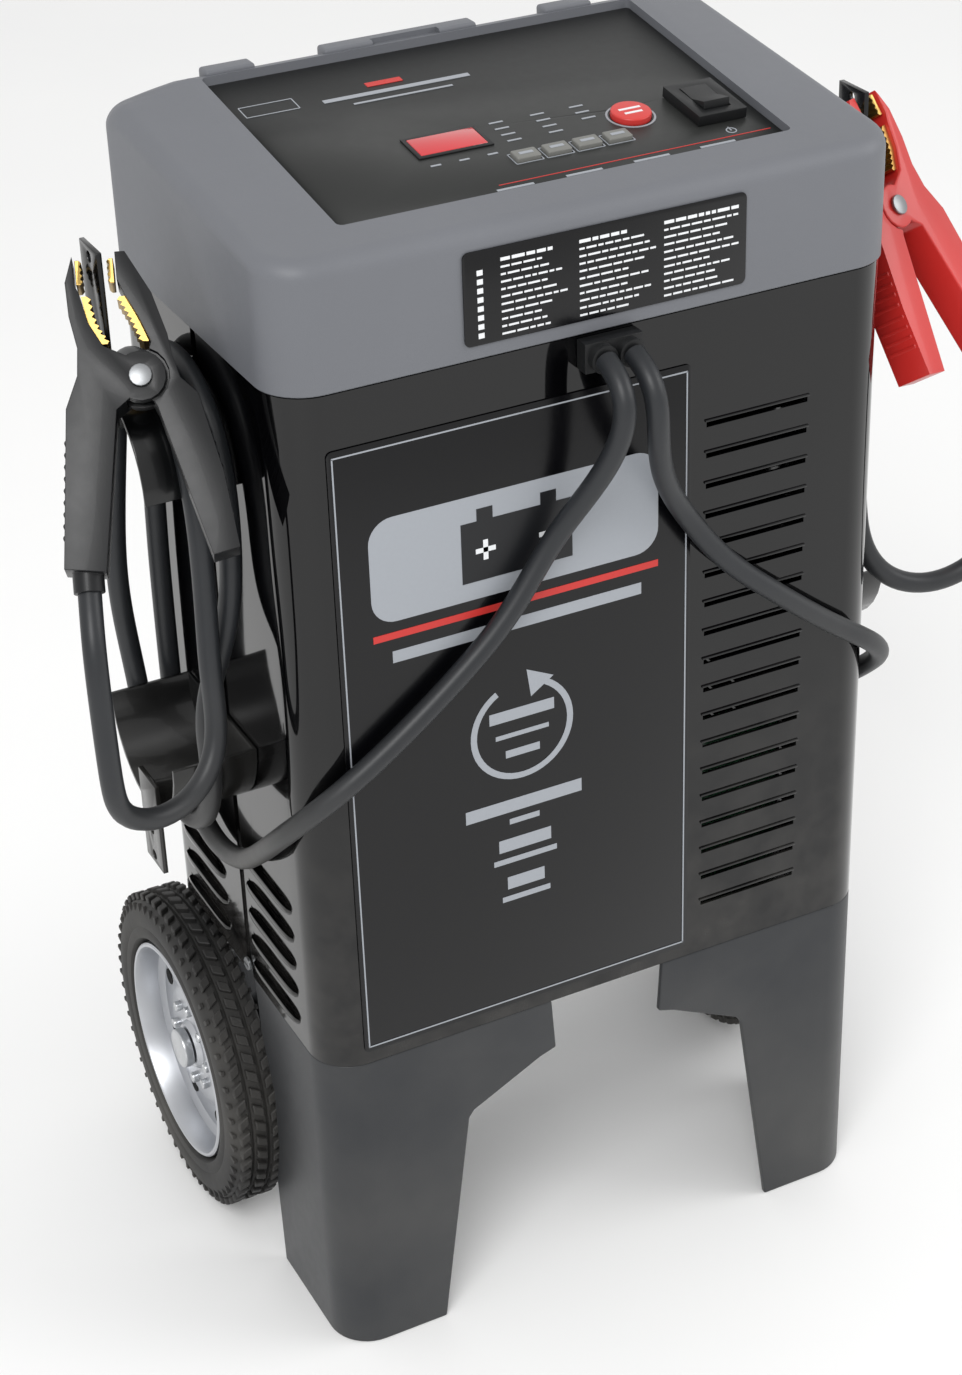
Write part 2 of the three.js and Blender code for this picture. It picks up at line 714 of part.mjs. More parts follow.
function transformerCore() {
  const { x, y, width, depth, height, limb, side } = transformer;
  const block = box([x - width / 2, y - depth / 2, insideFloor], [x + width / 2, y + depth / 2, insideFloor + height]);
  const windows = [-1, 1].map((to) => {
    const edges = [to * (limb / 2), to * (width / 2 - side)].sort((a, b) => a - b);
    return box(
      [x + edges[0], y - depth, insideFloor + side],
      [x + edges[1], y + depth, insideFloor + height - side],
    );
  });
  return cut(block, ...windows);
}

function transformerWinding() {
  const { x, y, width, depth, height, limb, side } = transformer;
  const outer = width / 2 - side - fit;
  const bottom = insideFloor + side + fit;
  const top = insideFloor + height - side - fit;
  const coil = box([x - outer, y - depth / 2 - 18, bottom], [x + outer, y + depth / 2 + 18, top]);
  const inner = limb / 2 + fit;
  const hole = box([x - inner, y - depth / 2 - fit, bottom - 1], [x + inner, y + depth / 2 + fit, top + 1]);
  return cut(coil, hole);
}

// An upright board on a foot, with a row of capacitors and a row of relays.
function circuitBoard() {
  const [left, right, face] = [5, 125, -55];
  const board = box([left, face - 1.6, insideFloor], [right, face, insideFloor + 105]);
  const foot = box([left, face - 1, insideFloor], [right, face + 14, insideFloor + 2]);
  const capacitors = [0, 1, 2].map((i) => bar("y", 9, face - 0.5, face + 28, [left + 16 + i * 22, insideFloor + 30], 20));
  const relays = [0, 1, 2, 3].map((i) => {
    const x = left + 8 + i * 27;
    return box([x, face - 0.5, insideFloor + 58], [x + 20, face + 15, insideFloor + 84]);
  });
  return join(board, foot, ...capacitors, ...relays);
}

function heatSink() {
  const [left, front, fins, pitch] = [15, 0, 9, 11];
  const base = box([left, front, insideFloor], [left + (fins - 1) * pitch + 3, front + 55, insideFloor + 5]);
  const plates = Array.from({ length: fins }, (_, i) => {
    const x = left + i * pitch;
    return box([x, front, insideFloor + 4], [x + 3, front + 55, insideFloor + 45]);
  });
  return join(base, ...plates);
}

addPiece("transformer_core", transformerCore(), finishes.steel);
addPiece("transformer_winding", transformerWinding(), finishes.copper);
addPiece("circuit_board", circuitBoard(), finishes.board);
addPiece("heat_sink", heatSink(), finishes.zinc);

// ---------------------------------------------------------------- fan in the rear wall

const fanBack = halfDepth - body.sheet - fit;
const fanFront = fanBack - fan.depth;
const fanPlace = [fan.x, fan.z];

function fanFrame() {
  const half = fan.size / 2;
  const block = box([fan.x - half, fanFront, fan.z - half], [fan.x + half, fanBack, fan.z + half]);
  const tunnel = bar("y", fan.bladeRadius + 2, fanFront - 1, fanBack + 1, fanPlace, 36);
  const struts = [0, 90].map((angle) => {
    const strut = slab(fan.size - 4, 5, fanFront, fanFront + 3);
    const turned = strut.translate([0, 0, -fanFront]).rotate([0, 0, angle + 45]).rotate([-90, 0, 0]);
    return turned.translate([fan.x, fanFront, fan.z]);
  });
  const cup = bar("y", fan.hub, fanFront, fanFront + 4, fanPlace);
  const post = bar("y", 3, fanFront, fanFront + 14, fanPlace, 16);
  return join(cut(block, tunnel), ...struts, cup, post);
}

function fanRotor() {
  const start = fanFront + 4 + 0.6;
  const hubDrum = bar("y", fan.hub - 0.5, start, fanBack - 2, fanPlace);
  const bore = bar("y", 3 + fit, start - 1, fanFront + 14 + 0.6, fanPlace, 16);
  const reach = bar("y", fan.bladeRadius, start, fanBack - 2, fanPlace, 36);
  const blades = Array.from({ length: fan.blades }, (_, i) => {
    const blade = box([fan.hub - 3, -11, -0.8], [fan.bladeRadius + 4, 11, 0.8]).rotate([38, 0, 0]);
    const turned = blade.rotate([0, (360 / fan.blades) * i, 0]);
    return turned.translate([fan.x, (start + fanBack - 2) / 2, fan.z]).intersect(reach);
  });
  return cut(join(hubDrum, ...blades), bore);
}

function fanGuard() {
  const [near, far] = [halfDepth + fit, halfDepth + fit + 2];
  const ring = (radius) => cut(bar("y", radius + 1.2, near, far, fanPlace), bar("y", radius - 1.2, near - 1, far + 1, fanPlace));
  const rings = [44, 28].map(ring);
  const hubDisc = bar("y", 11, near, far, fanPlace);
  const spokes = [
    box([fan.x - 44, near, fan.z - 1.2], [fan.x + 44, far, fan.z + 1.2]),
    box([fan.x - 1.2, near, fan.z - 44], [fan.x + 1.2, far, fan.z + 44]),
  ];
  return join(...rings, hubDisc, ...spokes);
}

addPiece("fan_frame", fanFrame(), finishes.blackPlastic);
addPiece("fan_rotor", fanRotor(), finishes.blackPlastic);
addPiece("fan_guard", fanGuard(), finishes.zinc);

// ---------------------------------------------------------------- glands for the cords

const collarPlaces = [-1, 1].map((to) => gland.x + (to * lead.spacing) / 2);

function leadGland() {
  const near = -halfDepth - fit;
  const halfSpan = gland.width / 2;
  const block = box(
    [gland.x - halfSpan, near - gland.block, gland.z - gland.height / 2],
    [gland.x + halfSpan, near, gland.z + gland.height / 2],
  );
  const neck = glandHole(0).intersect(box([-60, -halfDepth - 2, 0], [60, -halfDepth + 10, 900]));
  const collars = collarPlaces.map((x) =>
    bar("y", gland.collar, near - gland.depth, near - 1, [x, gland.z], 24),
  );
  return join(block, neck, ...collars);
}

function mainsGland() {
  const place = [cordGland.x, cordGland.z];
  const flangeDisc = bar("y", cordGland.radius + 4, halfDepth + fit, halfDepth + fit + 3, place);
  const barrel = bar("y", cordGland.radius - fit, halfDepth - 12, halfDepth + 12, place);
  const bore = bar("y", 4, halfDepth - 13, halfDepth + 13, place, 20);
  return cut(join(flangeDisc, barrel), bore);
}

addPiece("lead_gland", leadGland(), finishes.blackPlastic);
addPiece("mains_gland", mainsGland(), finishes.blackPlastic);

// ---------------------------------------------------------------- hooks for the leads

const wallX = halfWidth + fit;
const flangeX = wallX + hook.reach - hook.tabWall;

// A half-round saddle on the wall, with a flat tab at its outer edge; up is 1 for the upper hook.
function cordHook(up, centreZ, tipZ) {
  const place = [0, centreZ];
  const drum = bar("x", hook.saddleRadius, wallX, flangeX + hook.tabWall, place, 32);
  const bore = bar("x", hook.saddleRadius - hook.wall, wallX + hook.wall, flangeX + 60, place, 32);
  const half = hook.saddleRadius + 2;
  const away = up > 0 ? [centreZ - half, centreZ] : [centreZ, centreZ + half];
  const otherHalf = box([wallX - 1, -half, away[0]], [flangeX + 60, half, away[1]]);
  const arch = cut(drum, bore, otherHalf);
  const root = centreZ + up * (hook.saddleRadius - 16);
  const [low, high] = up > 0 ? [root, tipZ] : [tipZ, root];
  const tab = box([flangeX, -hook.tabWidth / 2, low], [flangeX + hook.tabWall, hook.tabWidth / 2, high]);
  const holes = [5, 20].map((from) =>
    bar("x", 2.6, flangeX - 5, flangeX + 8, [0, tipZ - up * from], 16),
  );
  return cut(join(arch, tab), ...holes.slice(0, up > 0 ? 1 : 2));
}

for (const { name, group } of sideGroups) {
  addPiece("hook_upper_" + name, cordHook(1, hook.upperZ, hook.upperTip), finishes.hookSteel, group);
  addPiece("hook_lower_" + name, cordHook(-1, hook.lowerZ, hook.lowerTip), finishes.hookSteel, group);
}

// ---------------------------------------------------------------- clamps

// A clamp's own frame: x across the jaws, y through its thickness, z up from the handles to the jaws.
function clampGroup(name, parent) {
  const turn = THREE.MathUtils.degToRad(hanging[name].turn);
  const tilt = THREE.MathUtils.degToRad(hanging[name].tilt);
  const across = new THREE.Vector3(-Math.cos(turn), -Math.sin(turn), 0);
  const up = new THREE.Vector3(
    -Math.sin(turn) * Math.sin(tilt),
    Math.cos(turn) * Math.sin(tilt),
    Math.cos(tilt),
  );
  const through = new THREE.Vector3().crossVectors(up, across);
  const group = new THREE.Group();
  group.matrixAutoUpdate = false;
  group.matrix.makeBasis(across, through, up).setPosition(flangeX + hook.tabWall / 2, 0, clamp.biteZ);
  parent.add(group);
  return group;
}

const pivotPlace = [clamp.pivotAcross, -clamp.pivotDrop];
const halfThick = clamp.thickness / 2;

function clampHalf(points) {
  return drawAlongY(outline(points.map(([across, down]) => [across, -down])), -halfThick, halfThick);
}

// The half that carries the cord: its two cheeks stand outside the other half's.
function outerHalf() {
  const profile = clampHalf([
    [-8.2, -2.5],
    [-12, 9],
    [-11.5, 24],
    [-9, 38],
    [-10, 50],
    [-15.9, 64],
    [-22.2, 133],
    [-4.5, 135.5],
    [5.5, 66],
    [12, 61],
    [12, 43],
    [2.1, 37.8],
    [-3.5, 27],
    [-6.3, 14],
    [-8.2, 10],
  ]);
  const cheeks = bar("y", clamp.cheekRadius, -halfThick, halfThick, pivotPlace, 18);
  const room = bar("y", clamp.cheekRadius + 1.5, -halfThick + clamp.cheekWall, halfThick - clamp.cheekWall, pivotPlace, 18);
  const boot = bar("z", 6.8, -clamp.handleEnd - 5.5, -clamp.handleEnd + 6, [clamp.bootAcross, 0], 20);
  return cut(join(profile, cheeks, boot), room, pinBore());
}

function innerHalf() {
  const profile = clampHalf([
    [10.2, -3.2],
    [10.2, 9],
    [13, 16],
    [18, 26],
    [22.5, 37.5],
    [20, 44],
    [20, 60],
    [23, 66],
    [41, 132],
    [52.5, 129.4],
    [48.5, 96],
    [40.7, 61.3],
    [33.7, 54],
    [31, 44],
    [29.7, 34.4],
    [24.4, 15.8],
    [14.5, -3.2],
  ].reverse());
  const inside = halfThick - clamp.cheekWall - fit;
  const cheeks = bar("y", clamp.cheekRadius, -inside, inside, pivotPlace, 18);
  const sidesOff = [-1, 1].map((to) => {
    const edges = [to * inside, to * (halfThick + 1)].sort((a, b) => a - b);
    return bar("y", clamp.cheekRadius + 1.5, ...edges, pivotPlace, 18);
  });
  const room = bar("y", clamp.cheekRadius + 1.5, -inside + clamp.cheekWall, inside - clamp.cheekWall, pivotPlace, 18);
  return cut(join(profile, cheeks), ...sidesOff, room, pinBore());
}

const pinBore = () => bar("y", clamp.pinRadius + fit, -halfThick - 2, halfThick + 2, pivotPlace, 16);

// A toothed plate on a jaw; to is -1 for the outer jaw and 1 for the inner one.
function jawPlate(to) {
  const face = clamp.jawGap / 2;
  const teeth = 4;
  const length = 11;
  const points = [[face + clamp.plateWall, -length], [face + clamp.plateWall, 0]];
  for (let i = 0; i < teeth; i++) {
    points.push([face + 1.2, (-i * length) / teeth], [face, (-(i + 0.5) * length) / teeth]);
  }
  points.push([face + 1.2, -length]);
  const placed = points.map(([across, z]) => [clamp.jawMiddle + to * across, z + 1]);
  if (to < 0) placed.reverse();
  return drawAlongY(outline(placed.reverse()), -halfThick + 2, halfThick - 2);
}

function clampPin() {
  const shank = bar("y", clamp.pinRadius, -halfThick - 1, halfThick + 1, pivotPlace, 16);
  const heads = [-1, 1].map((to) => {
    const edges = [to * (halfThick + fit), to * (halfThick + 2)].sort((a, b) => a - b);
    return bar("y", clamp.pinRadius + 2, ...edges, pivotPlace, 16);
  });
  return join(shank, ...heads);
}

// A coil round the pin with a leg towards each handle.
function clampSpring() {
  const half = halfThick - 2 * clamp.cheekWall - 2 * fit - 0.3;
  const coil = cut(
    bar("y", 7, -half, half, pivotPlace, 16),
    bar("y", clamp.pinRadius + 0.8, -half - 1, half + 1, pivotPlace, 16),
  );
  const legs = [-1, 1].map((to) => {
    const legBar = box([to < 0 ? -6.6 : 5, -1, -9.5], [to < 0 ? -5 : 6.6, 1, 1]);
    return legBar.translate([pivotPlace[0], 0, pivotPlace[1]]);
  });
  return join(coil, ...legs);
}

for (const { name, group } of sideGroups) {
  const grips = name === "left" ? finishes.blackPlastic : finishes.redPlastic;
  const place = clampGroup(name, group);
  addPiece("clamp_outer_" + name, outerHalf(), grips, place);
  addPiece("clamp_inner_" + name, innerHalf(), grips, place);
  addPiece("clamp_plate_outer_" + name, jawPlate(-1), finishes.brass, place);
  addPiece("clamp_plate_inner_" + name, jawPlate(1), finishes.brass, place);
  addPiece("clamp_pin_" + name, clampPin(), finishes.steel, place);
  addPiece("clamp_spring_" + name, clampSpring(), finishes.steel, place);
}

// ---------------------------------------------------------------- battery leads

const strandX = wallX + 2 + lead.diameter / 2;

// From the gland down across the front, round the corner and under the wound part to its back.
function leadRun(sign) {
  const start = sign < 0 ? collarPlaces[0] : collarPlaces[1];
  const front = -halfDepth - lead.diameter / 2 - 4;
  const back = hook.saddleRadius + 1 + lead.diameter * 1.7;
  const wide = halfWidth - 155;
  const under = hook.lowerZ - hook.saddleRadius - 1.8 * lead.diameter;
  const across = (x, y, fromHook) => [sign * (x + wide), y, hook.lowerZ + fromHook];
  return tube(
    [
      [start, -halfDepth - gland.depth - 2 * fit, gland.z],
      [start, front - 11, gland.z],
      [start + sign, front - 17, gland.z - 14],
      [start + sign * 6, front - 9, gland.z - 42.5],
      [start + sign * (22 + wide / 6), front, hook.lowerZ + 113],
      [start + sign * (48 + wide / 3), front, hook.lowerZ + 76],
      [start + sign * (80 + wide / 2), front, hook.lowerZ + 48],
      across(122, front - 1, 21),
      across(153, front + 3, 0),
      across(169, -82, -26),
      [sign * strandX, -52, hook.lowerZ - 50],
      [sign * strandX, -8, under - 14],
      [sign * strandX, 36, under - 16],
      [sign * strandX, back, hook.lowerZ - 38],
      [sign * strandX, back, hook.lowerZ + 12],
    ],
    lead.diameter,
  );
}

// The part wound round both hooks, as one band.
function leadWraps(strands) {
  const inner = hook.saddleRadius + 0.6;
  const band = (radius) => {
    const shape = new THREE.Shape();
    shape.absarc(0, hook.upperZ, radius, 0, Math.PI);
    shape.absarc(0, hook.lowerZ, radius, Math.PI, 2 * Math.PI);
    return shape;
  };
  const [near, far] = [wallX + 2, wallX + 2 + strands * lead.diameter];
  return cut(
    drawAlongX(band(inner + 1.1 * lead.diameter), near, far, 8),
    drawAlongX(band(inner), near - 1, far + 1, 8),
  );
}

// From the front of the wound part down in a loop and up to the handle of the clamp.
function leadTail(place) {
  const boot = new THREE.Vector3(clamp.bootAcross, 0, -clamp.handleEnd - 5.5 - fit);
  const end = boot.clone().applyMatrix4(place.matrix);
  const before = boot.clone().setZ(boot.z - 38).applyMatrix4(place.matrix);
  const front = -hook.saddleRadius - 0.6 - 1.8 * lead.diameter;
  return tube(
    [
      [strandX - 1, front, hook.upperZ + 2],
      [strandX - 1, front, hook.upperZ - 46],
      [strandX + 12, front - 1, hook.lowerZ + 47],
      [end.x - 22, end.y - 7, hook.lowerZ + 10],
      [(before.x + end.x - 10) / 2, end.y - 12, hook.lowerZ + 24],
      before.toArray(),
      end.toArray(),
    ],
    lead.diameter,
  );
}

for (const { name, group } of sideGroups) {
  addPiece("lead_run_" + name, leadRun(name === "left" ? -1 : 1), finishes.leadRubber);
  addPiece("lead_wraps_" + name, leadWraps(hanging[name].strands), finishes.leadRubber, group);
  addPiece("lead_tail_" + name, leadTail(clampGroup(name, group)), finishes.leadRubber, group);
}

export default charger;
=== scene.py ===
# %% [markdown]
# # A wheeled battery charger
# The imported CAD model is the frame. This notebook gives it its looks: glossy sheet housing, moulded cover,
# rubber leads, toothed clamps, pressed rims and treaded tyres. Every length below is in millimetres in the
# charger's own frame: x across, y from the front to the back, z up from the floor.

# %% Load the frame
import math
import random

import bmesh
import bpy
from mathutils import Matrix, Vector


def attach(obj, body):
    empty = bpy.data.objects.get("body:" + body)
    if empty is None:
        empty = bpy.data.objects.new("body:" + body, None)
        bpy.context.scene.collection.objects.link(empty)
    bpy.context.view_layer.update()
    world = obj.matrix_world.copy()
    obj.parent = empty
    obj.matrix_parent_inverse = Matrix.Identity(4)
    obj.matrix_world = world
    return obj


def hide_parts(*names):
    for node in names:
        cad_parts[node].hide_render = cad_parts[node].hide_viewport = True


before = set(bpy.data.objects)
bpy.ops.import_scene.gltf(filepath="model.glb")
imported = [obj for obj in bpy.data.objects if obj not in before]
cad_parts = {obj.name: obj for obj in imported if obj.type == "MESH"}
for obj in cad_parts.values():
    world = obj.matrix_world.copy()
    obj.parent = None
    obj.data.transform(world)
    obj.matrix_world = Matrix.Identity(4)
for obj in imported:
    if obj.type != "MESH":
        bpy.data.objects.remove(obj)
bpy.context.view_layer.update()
SHIFT_Y = -22.9  # the row frame's origin is the middle of the footprint


def at(x, y, z):
    """A point of the charger in metres, in the row frame."""
    return Vector((x / 1000, (y + SHIFT_Y) / 1000, z / 1000))


# %% [markdown]
# ## Camera
# The camera looks down on the front left corner from about a metre and a half away, with a slight roll. It
# could be aimed by a constraint, but a direction worked out from two angles is easier to read and to change.

# %% Make the camera
CAMERA_PLACE = (-539.2, -1071.8, 1021.8)
AZIMUTH, ELEVATION, ROLL = math.radians(-26.0), math.radians(30.9), math.radians(-2.05)
camera = bpy.data.objects.new("camera", bpy.data.cameras.new("camera"))
bpy.context.scene.collection.objects.link(camera)
camera.data.lens = 71.8
camera.data.sensor_width = 36
camera.location = at(*CAMERA_PLACE)
back = Vector(
    (
        math.sin(AZIMUTH) * math.cos(ELEVATION),
        -math.cos(AZIMUTH) * math.cos(ELEVATION),
        math.sin(ELEVATION),
    )
)
upright = (-back).to_track_quat("-Z", "Y").to_matrix()
camera.rotation_euler = (upright @ Matrix.Rotation(ROLL, 3, "Z")).to_euler()
bpy.context.scene.camera = camera
print("camera", [round(v, 3) for v in camera.location])

# %% [markdown]
# ## Shader graphs
# Worn paint and moulded plastic need masks: a noise above a level, times a height. Built node by node, such a
# mask takes a dozen lines, so shader maths is written here as plain arithmetic. A small class overloads the
# operators, and one method makes any other node.


# %% Write shader maths as arithmetic
class Wire:
    """The output of a shader node, with arithmetic."""

    def __init__(self, tree, socket):
        self.tree = tree
        self.socket = socket

    def _math(self, operation, *values, clamp=False):
        node = self.tree.nodes.new("ShaderNodeMath")
        node.operation = operation
        node.use_clamp = clamp
        for slot, value in zip(node.inputs, values):
            if isinstance(value, Wire):
                self.tree.links.new(value.socket, slot)
            else:
                slot.default_value = value
        return Wire(self.tree, node.outputs[0])

    def __add__(self, other):
        return self._math("ADD", self, other)

    __radd__ = __add__

    def __sub__(self, other):
        return self._math("SUBTRACT", self, other)

    def __rsub__(self, other):
        return self._math("SUBTRACT", other, self)

    def __mul__(self, other):
        return self._math("MULTIPLY", self, other)

    __rmul__ = __mul__

    def __truediv__(self, other):
        return self._math("DIVIDE", self, other)

    def __rtruediv__(self, other):
        return self._math("DIVIDE", other, self)

    def __pow__(self, other):
        return self._math("POWER", self, other)

    def above(self, level, softness=0.05):
        """0 below the level and 1 above it, with a soft step."""
        return self._math("MULTIPLY", self - (level - softness / 2), 1 / softness, clamp=True)


class Graph:
    """A material's node tree."""

    def __init__(self, name):
        self.material = bpy.data.materials.new(name)
        self.material.use_nodes = True
        self.tree = self.material.node_tree
        self.shader = self.tree.nodes["Principled BSDF"]

    def node(self, kind, output=0, inputs=None, **settings):
        """Any node: its settings, its inputs by name or number, and one of its outputs."""
        made = self.tree.nodes.new("ShaderNode" + kind)
        for key, value in settings.items():
            setattr(made, key, value)
        for key, value in (inputs or {}).items():
            if isinstance(value, Wire):
                self.tree.links.new(value.socket, made.inputs[key])
            else:
                made.inputs[key].default_value = value
        return Wire(self.tree, made.outputs[output])

    def set(self, **values):
        """Constants on the shader, by socket name with _ for a space."""
        for key, value in values.items():
            self.shader.inputs[key.replace("_", " ")].default_value = value

    def link(self, name, wire):
        self.tree.links.new(wire.socket, self.shader.inputs[name])

    def place(self):
        return self.node("TexCoord", output="Object")

    def noise(self, scale, detail=3.0, roughness=0.55, stretch=(1, 1, 1)):
        placed = self.node("Mapping", inputs={"Vector": self.place(), "Scale": stretch})
        return self.node(
            "TexNoise",
            output="Fac",
            inputs={"Vector": placed, "Scale": scale, "Detail": detail, "Roughness": roughness},
        )

    def height(self):
        """Height above the floor, in metres."""
        return self.node("SeparateXYZ", output="Z", inputs={"Vector": self.place()})

    def blend(self, amount, first, second):
        """A colour between two colours."""
        mix = self.tree.nodes.new("ShaderNodeMix")
        mix.data_type = "RGBA"
        sockets = {"Factor": mix.inputs[0], "A": mix.inputs[6], "B": mix.inputs[7]}
        for key, value in (("Factor", amount), ("A", first), ("B", second)):
            if isinstance(value, Wire):
                self.tree.links.new(value.socket, sockets[key])
            else:
                sockets[key].default_value = value
        return Wire(self.tree, mix.outputs[2])

    def bump(self, height, strength, distance=0.001):
        made = self.node("Bump", inputs={"Height": height, "Strength": strength, "Distance": distance})
        self.link("Normal", made)


print("shader helpers ready")

# %% [markdown]
# ## Materials
# The charger is stoved gloss paint, grained plastic, rubber, zinc and brass. Each finish has its own wear: dust
# that settles low down, faint smears in the gloss, a moulded grain in the plastics and a turned grain in the
# metals. One function makes each family of finishes, so two plastics differ only in the numbers they are given.


# %% Mix the finishes
def shade(value, alpha=1.0):
    """A display colour, three numbers from 0 to 255, as linear light."""
    linear = [((v / 255 + 0.055) / 1.055) ** 2.4 if v > 10 else v / 255 / 12.92 for v in value]
    return (*linear, alpha)


def darker(color, factor):
    return tuple(v * factor for v in color[:3]) + (1.0,)


def finish(
    name, color, rough, metal=0.0, grain=0.0, grain_scale=900, patchy=0.12, dust=0.25, coat=0.0, gloss=0.5
):
    """A painted, moulded or metal surface with patchy wear, moulded grain and dust towards the floor."""
    graph = Graph(name)
    color = shade(color)
    graph.set(Metallic=metal, Coat_Weight=coat, Coat_Roughness=0.04, Specular_IOR_Level=gloss)
    wear = graph.noise(9, 5)
    fine = graph.noise(160, 4)
    low = (0.30 - graph.height()).above(0.1, 0.4)
    dusty = low * wear.above(0.52, 0.3) * dust
    tone = graph.blend(wear.above(0.5, 0.5), darker(color, 1 - patchy), darker(color, 1 + patchy))
    graph.link("Base Color", graph.blend(dusty, tone, shade((150, 146, 138))))
    graph.link("Roughness", fine * 0.08 + wear * 0.08 + dusty * 0.4 + (rough - 0.08))
    if grain:
        graph.bump(graph.noise(grain_scale, 2), grain, 0.0004)
    return graph.material


def gloss_paint(name, color):
    """Stoved gloss paint: nearly a mirror, with faint ripple, smears and a few hairline scratches."""
    graph = Graph(name)
    graph.set(Coat_Weight=0.22, Coat_Roughness=0.02, Specular_IOR_Level=0.32)
    smear = graph.noise(14, 5, 0.6, (1, 1, 0.35))
    scratch = graph.noise(220, 2, 0.5, (1, 1, 0.03)).above(0.70, 0.03)
    low = (0.32 - graph.height()).above(0.08, 0.25)
    dust = low * graph.noise(60, 5).above(0.5, 0.35) * 0.10
    graph.link("Base Color", graph.blend(dust, shade(color), shade((140, 136, 130))))
    graph.link("Roughness", smear.above(0.55, 0.3) * 0.035 + scratch * 0.08 + dust * 0.9 + 0.045)
    graph.bump(graph.noise(11, 2), 0.05, 0.0015)
    return graph.material


def printed(name, color, rough=0.32):
    """Ink or film on a plate."""
    graph = Graph(name)
    graph.set(Specular_IOR_Level=0.35)
    fine = graph.noise(500, 3)
    graph.link("Base Color", graph.blend(fine * 0.25, shade(color), darker(shade(color), 0.8)))
    graph.link("Roughness", fine * 0.12 + rough)
    return graph.material


def turned_metal(name, color, rough, scale=(1, 1, 1), rust=0.0):
    """Plated or bare metal with fine directional grain and, if asked, small spots of rust."""
    graph = Graph(name)
    graph.set(Metallic=1.0)
    grain = graph.noise(420, 4, 0.6, scale)
    patch = graph.noise(16, 5)
    spots = graph.noise(70, 5).above(0.68, 0.08) * rust
    tone = graph.blend(patch, darker(shade(color), 0.82), shade(color))
    graph.link("Base Color", graph.blend(spots, tone, shade((96, 60, 38))))
    graph.link("Roughness", grain * 0.16 + patch * 0.12 + spots * 0.4 + (rough - 0.12))
    graph.link("Metallic", 1.0 - spots * 0.8)
    graph.bump(grain, 0.06, 0.0003)
    return graph.material


finishes = {
    "cover": finish(
        "cover_plastic",
        (102, 104, 109),
        0.48,
        gloss=0.42,
        grain=0.22,
        grain_scale=1500,
        patchy=0.05,
        dust=0.0,
    ),
    "panel": finish(
        "panel_plastic", (40, 41, 40), 0.42, gloss=0.35, grain=0.10, grain_scale=2200, patchy=0.06, dust=0.0
    ),
    "gloss": gloss_paint("gloss_black", (4, 4, 5)),
    "leg": finish(
        "leg_plastic", (40, 42, 45), 0.40, gloss=0.38, grain=0.16, grain_scale=1300, patchy=0.06, dust=0.10
    ),
    "black": finish("black_plastic", (18, 19, 20), 0.42, gloss=0.35, grain=0.12, grain_scale=1600),
    "grip_black": finish(
        "clamp_black", (15, 16, 18), 0.38, grain=0.05, grain_scale=1200, coat=0.04, gloss=0.35
    ),
    "grip_red": finish("clamp_red", (188, 40, 36), 0.36, grain=0.05, grain_scale=1200, coat=0.15),
    "red_button": finish("button_red", (196, 52, 48), 0.35, patchy=0.06),
    "grey_button": finish("button_grey", (112, 112, 108), 0.45, grain=0.08, patchy=0.05),
    "display": finish("display_red", (190, 40, 46), 0.14, coat=0.6, patchy=0.1),
    "navy": printed("label_navy", (5, 5, 7), 0.14),
    "lead": finish(
        "lead_rubber", (34, 36, 39), 0.42, gloss=0.4, grain=0.10, grain_scale=700, patchy=0.15, dust=0.5
    ),
    "tyre": finish(
        "tyre_rubber", (22, 22, 23), 0.62, grain=0.25, grain_scale=800, patchy=0.2, dust=0.18, gloss=0.4
    ),
    "zinc": turned_metal("zinc_steel", (206, 208, 210), 0.30, rust=0.15),
    "steel": turned_metal("plain_steel", (150, 152, 154), 0.36, (1, 1, 6), rust=0.3),
    "hook": finish("hook_steel", (10, 11, 12), 0.22, grain=0.05, grain_scale=300, coat=0.2, gloss=0.35),
    "brass": turned_metal("jaw_brass", (206, 172, 100), 0.32, rust=0.1),
    "copper": turned_metal("copper", (190, 110, 70), 0.32, (1, 1, 30)),
    "board": finish("board_green", (30, 92, 58), 0.35, coat=0.3),
    "alloy": turned_metal("alloy", (196, 198, 202), 0.34, (20, 1, 1)),
    "ink_white": printed("ink_white", (222, 224, 226)),
    "ink_grey": printed("ink_grey", (150, 154, 160)),
    "ink_red": printed("ink_red", (190, 50, 46)),
    "ink_dark": printed("ink_dark", (18, 19, 22)),
    # Painted shade: a near-black finish for the gap under the cover and the holes in the rims
    "dark": printed("shadow_gap", (6, 6, 7), 0.8),
}
print(len(finishes), "finishes")

# %% [markdown]
# ## Mesh helpers
# Pieces could be modelled from Blender's own primitives, but they would then need to be placed and scaled.
# Here they are drawn as bmeshes in millimetres, in their place on the charger, bevelled, and turned into objects
# that ride on a CAD body. A piece whose CAD shape is already right is a rounded copy of it.


# %% Write the mesh helpers
def extrude(points, axis, low, high):
    """An outline drawn in the two other axes (in x, y, z order), raised along axis from low to high."""
    bm = bmesh.new()
    order = {"x": (1, 2, 0), "y": (0, 2, 1), "z": (0, 1, 2)}[axis]

    def corner(point, level):
        co = [0.0, 0.0, 0.0]
        co[order[0]], co[order[1]], co[order[2]] = point[0], point[1], level
        return bm.verts.new(co)

    bottom = [corner(p, low) for p in points]
    top = [corner(p, high) for p in points]
    bm.faces.new(bottom)
    bm.faces.new(top)
    for i in range(len(points)):
        j = (i + 1) % len(points)
        bm.faces.new((bottom[i], bottom[j], top[j], top[i]))
    bmesh.ops.recalc_face_normals(bm, faces=bm.faces)
    return bm


def block(low, high):
    """A box between two corners."""
    (x0, y0, z0), (x1, y1, z1) = low, high
    return extrude([(x0, y0), (x1, y0), (x1, y1), (x0, y1)], "z", z0, z1)


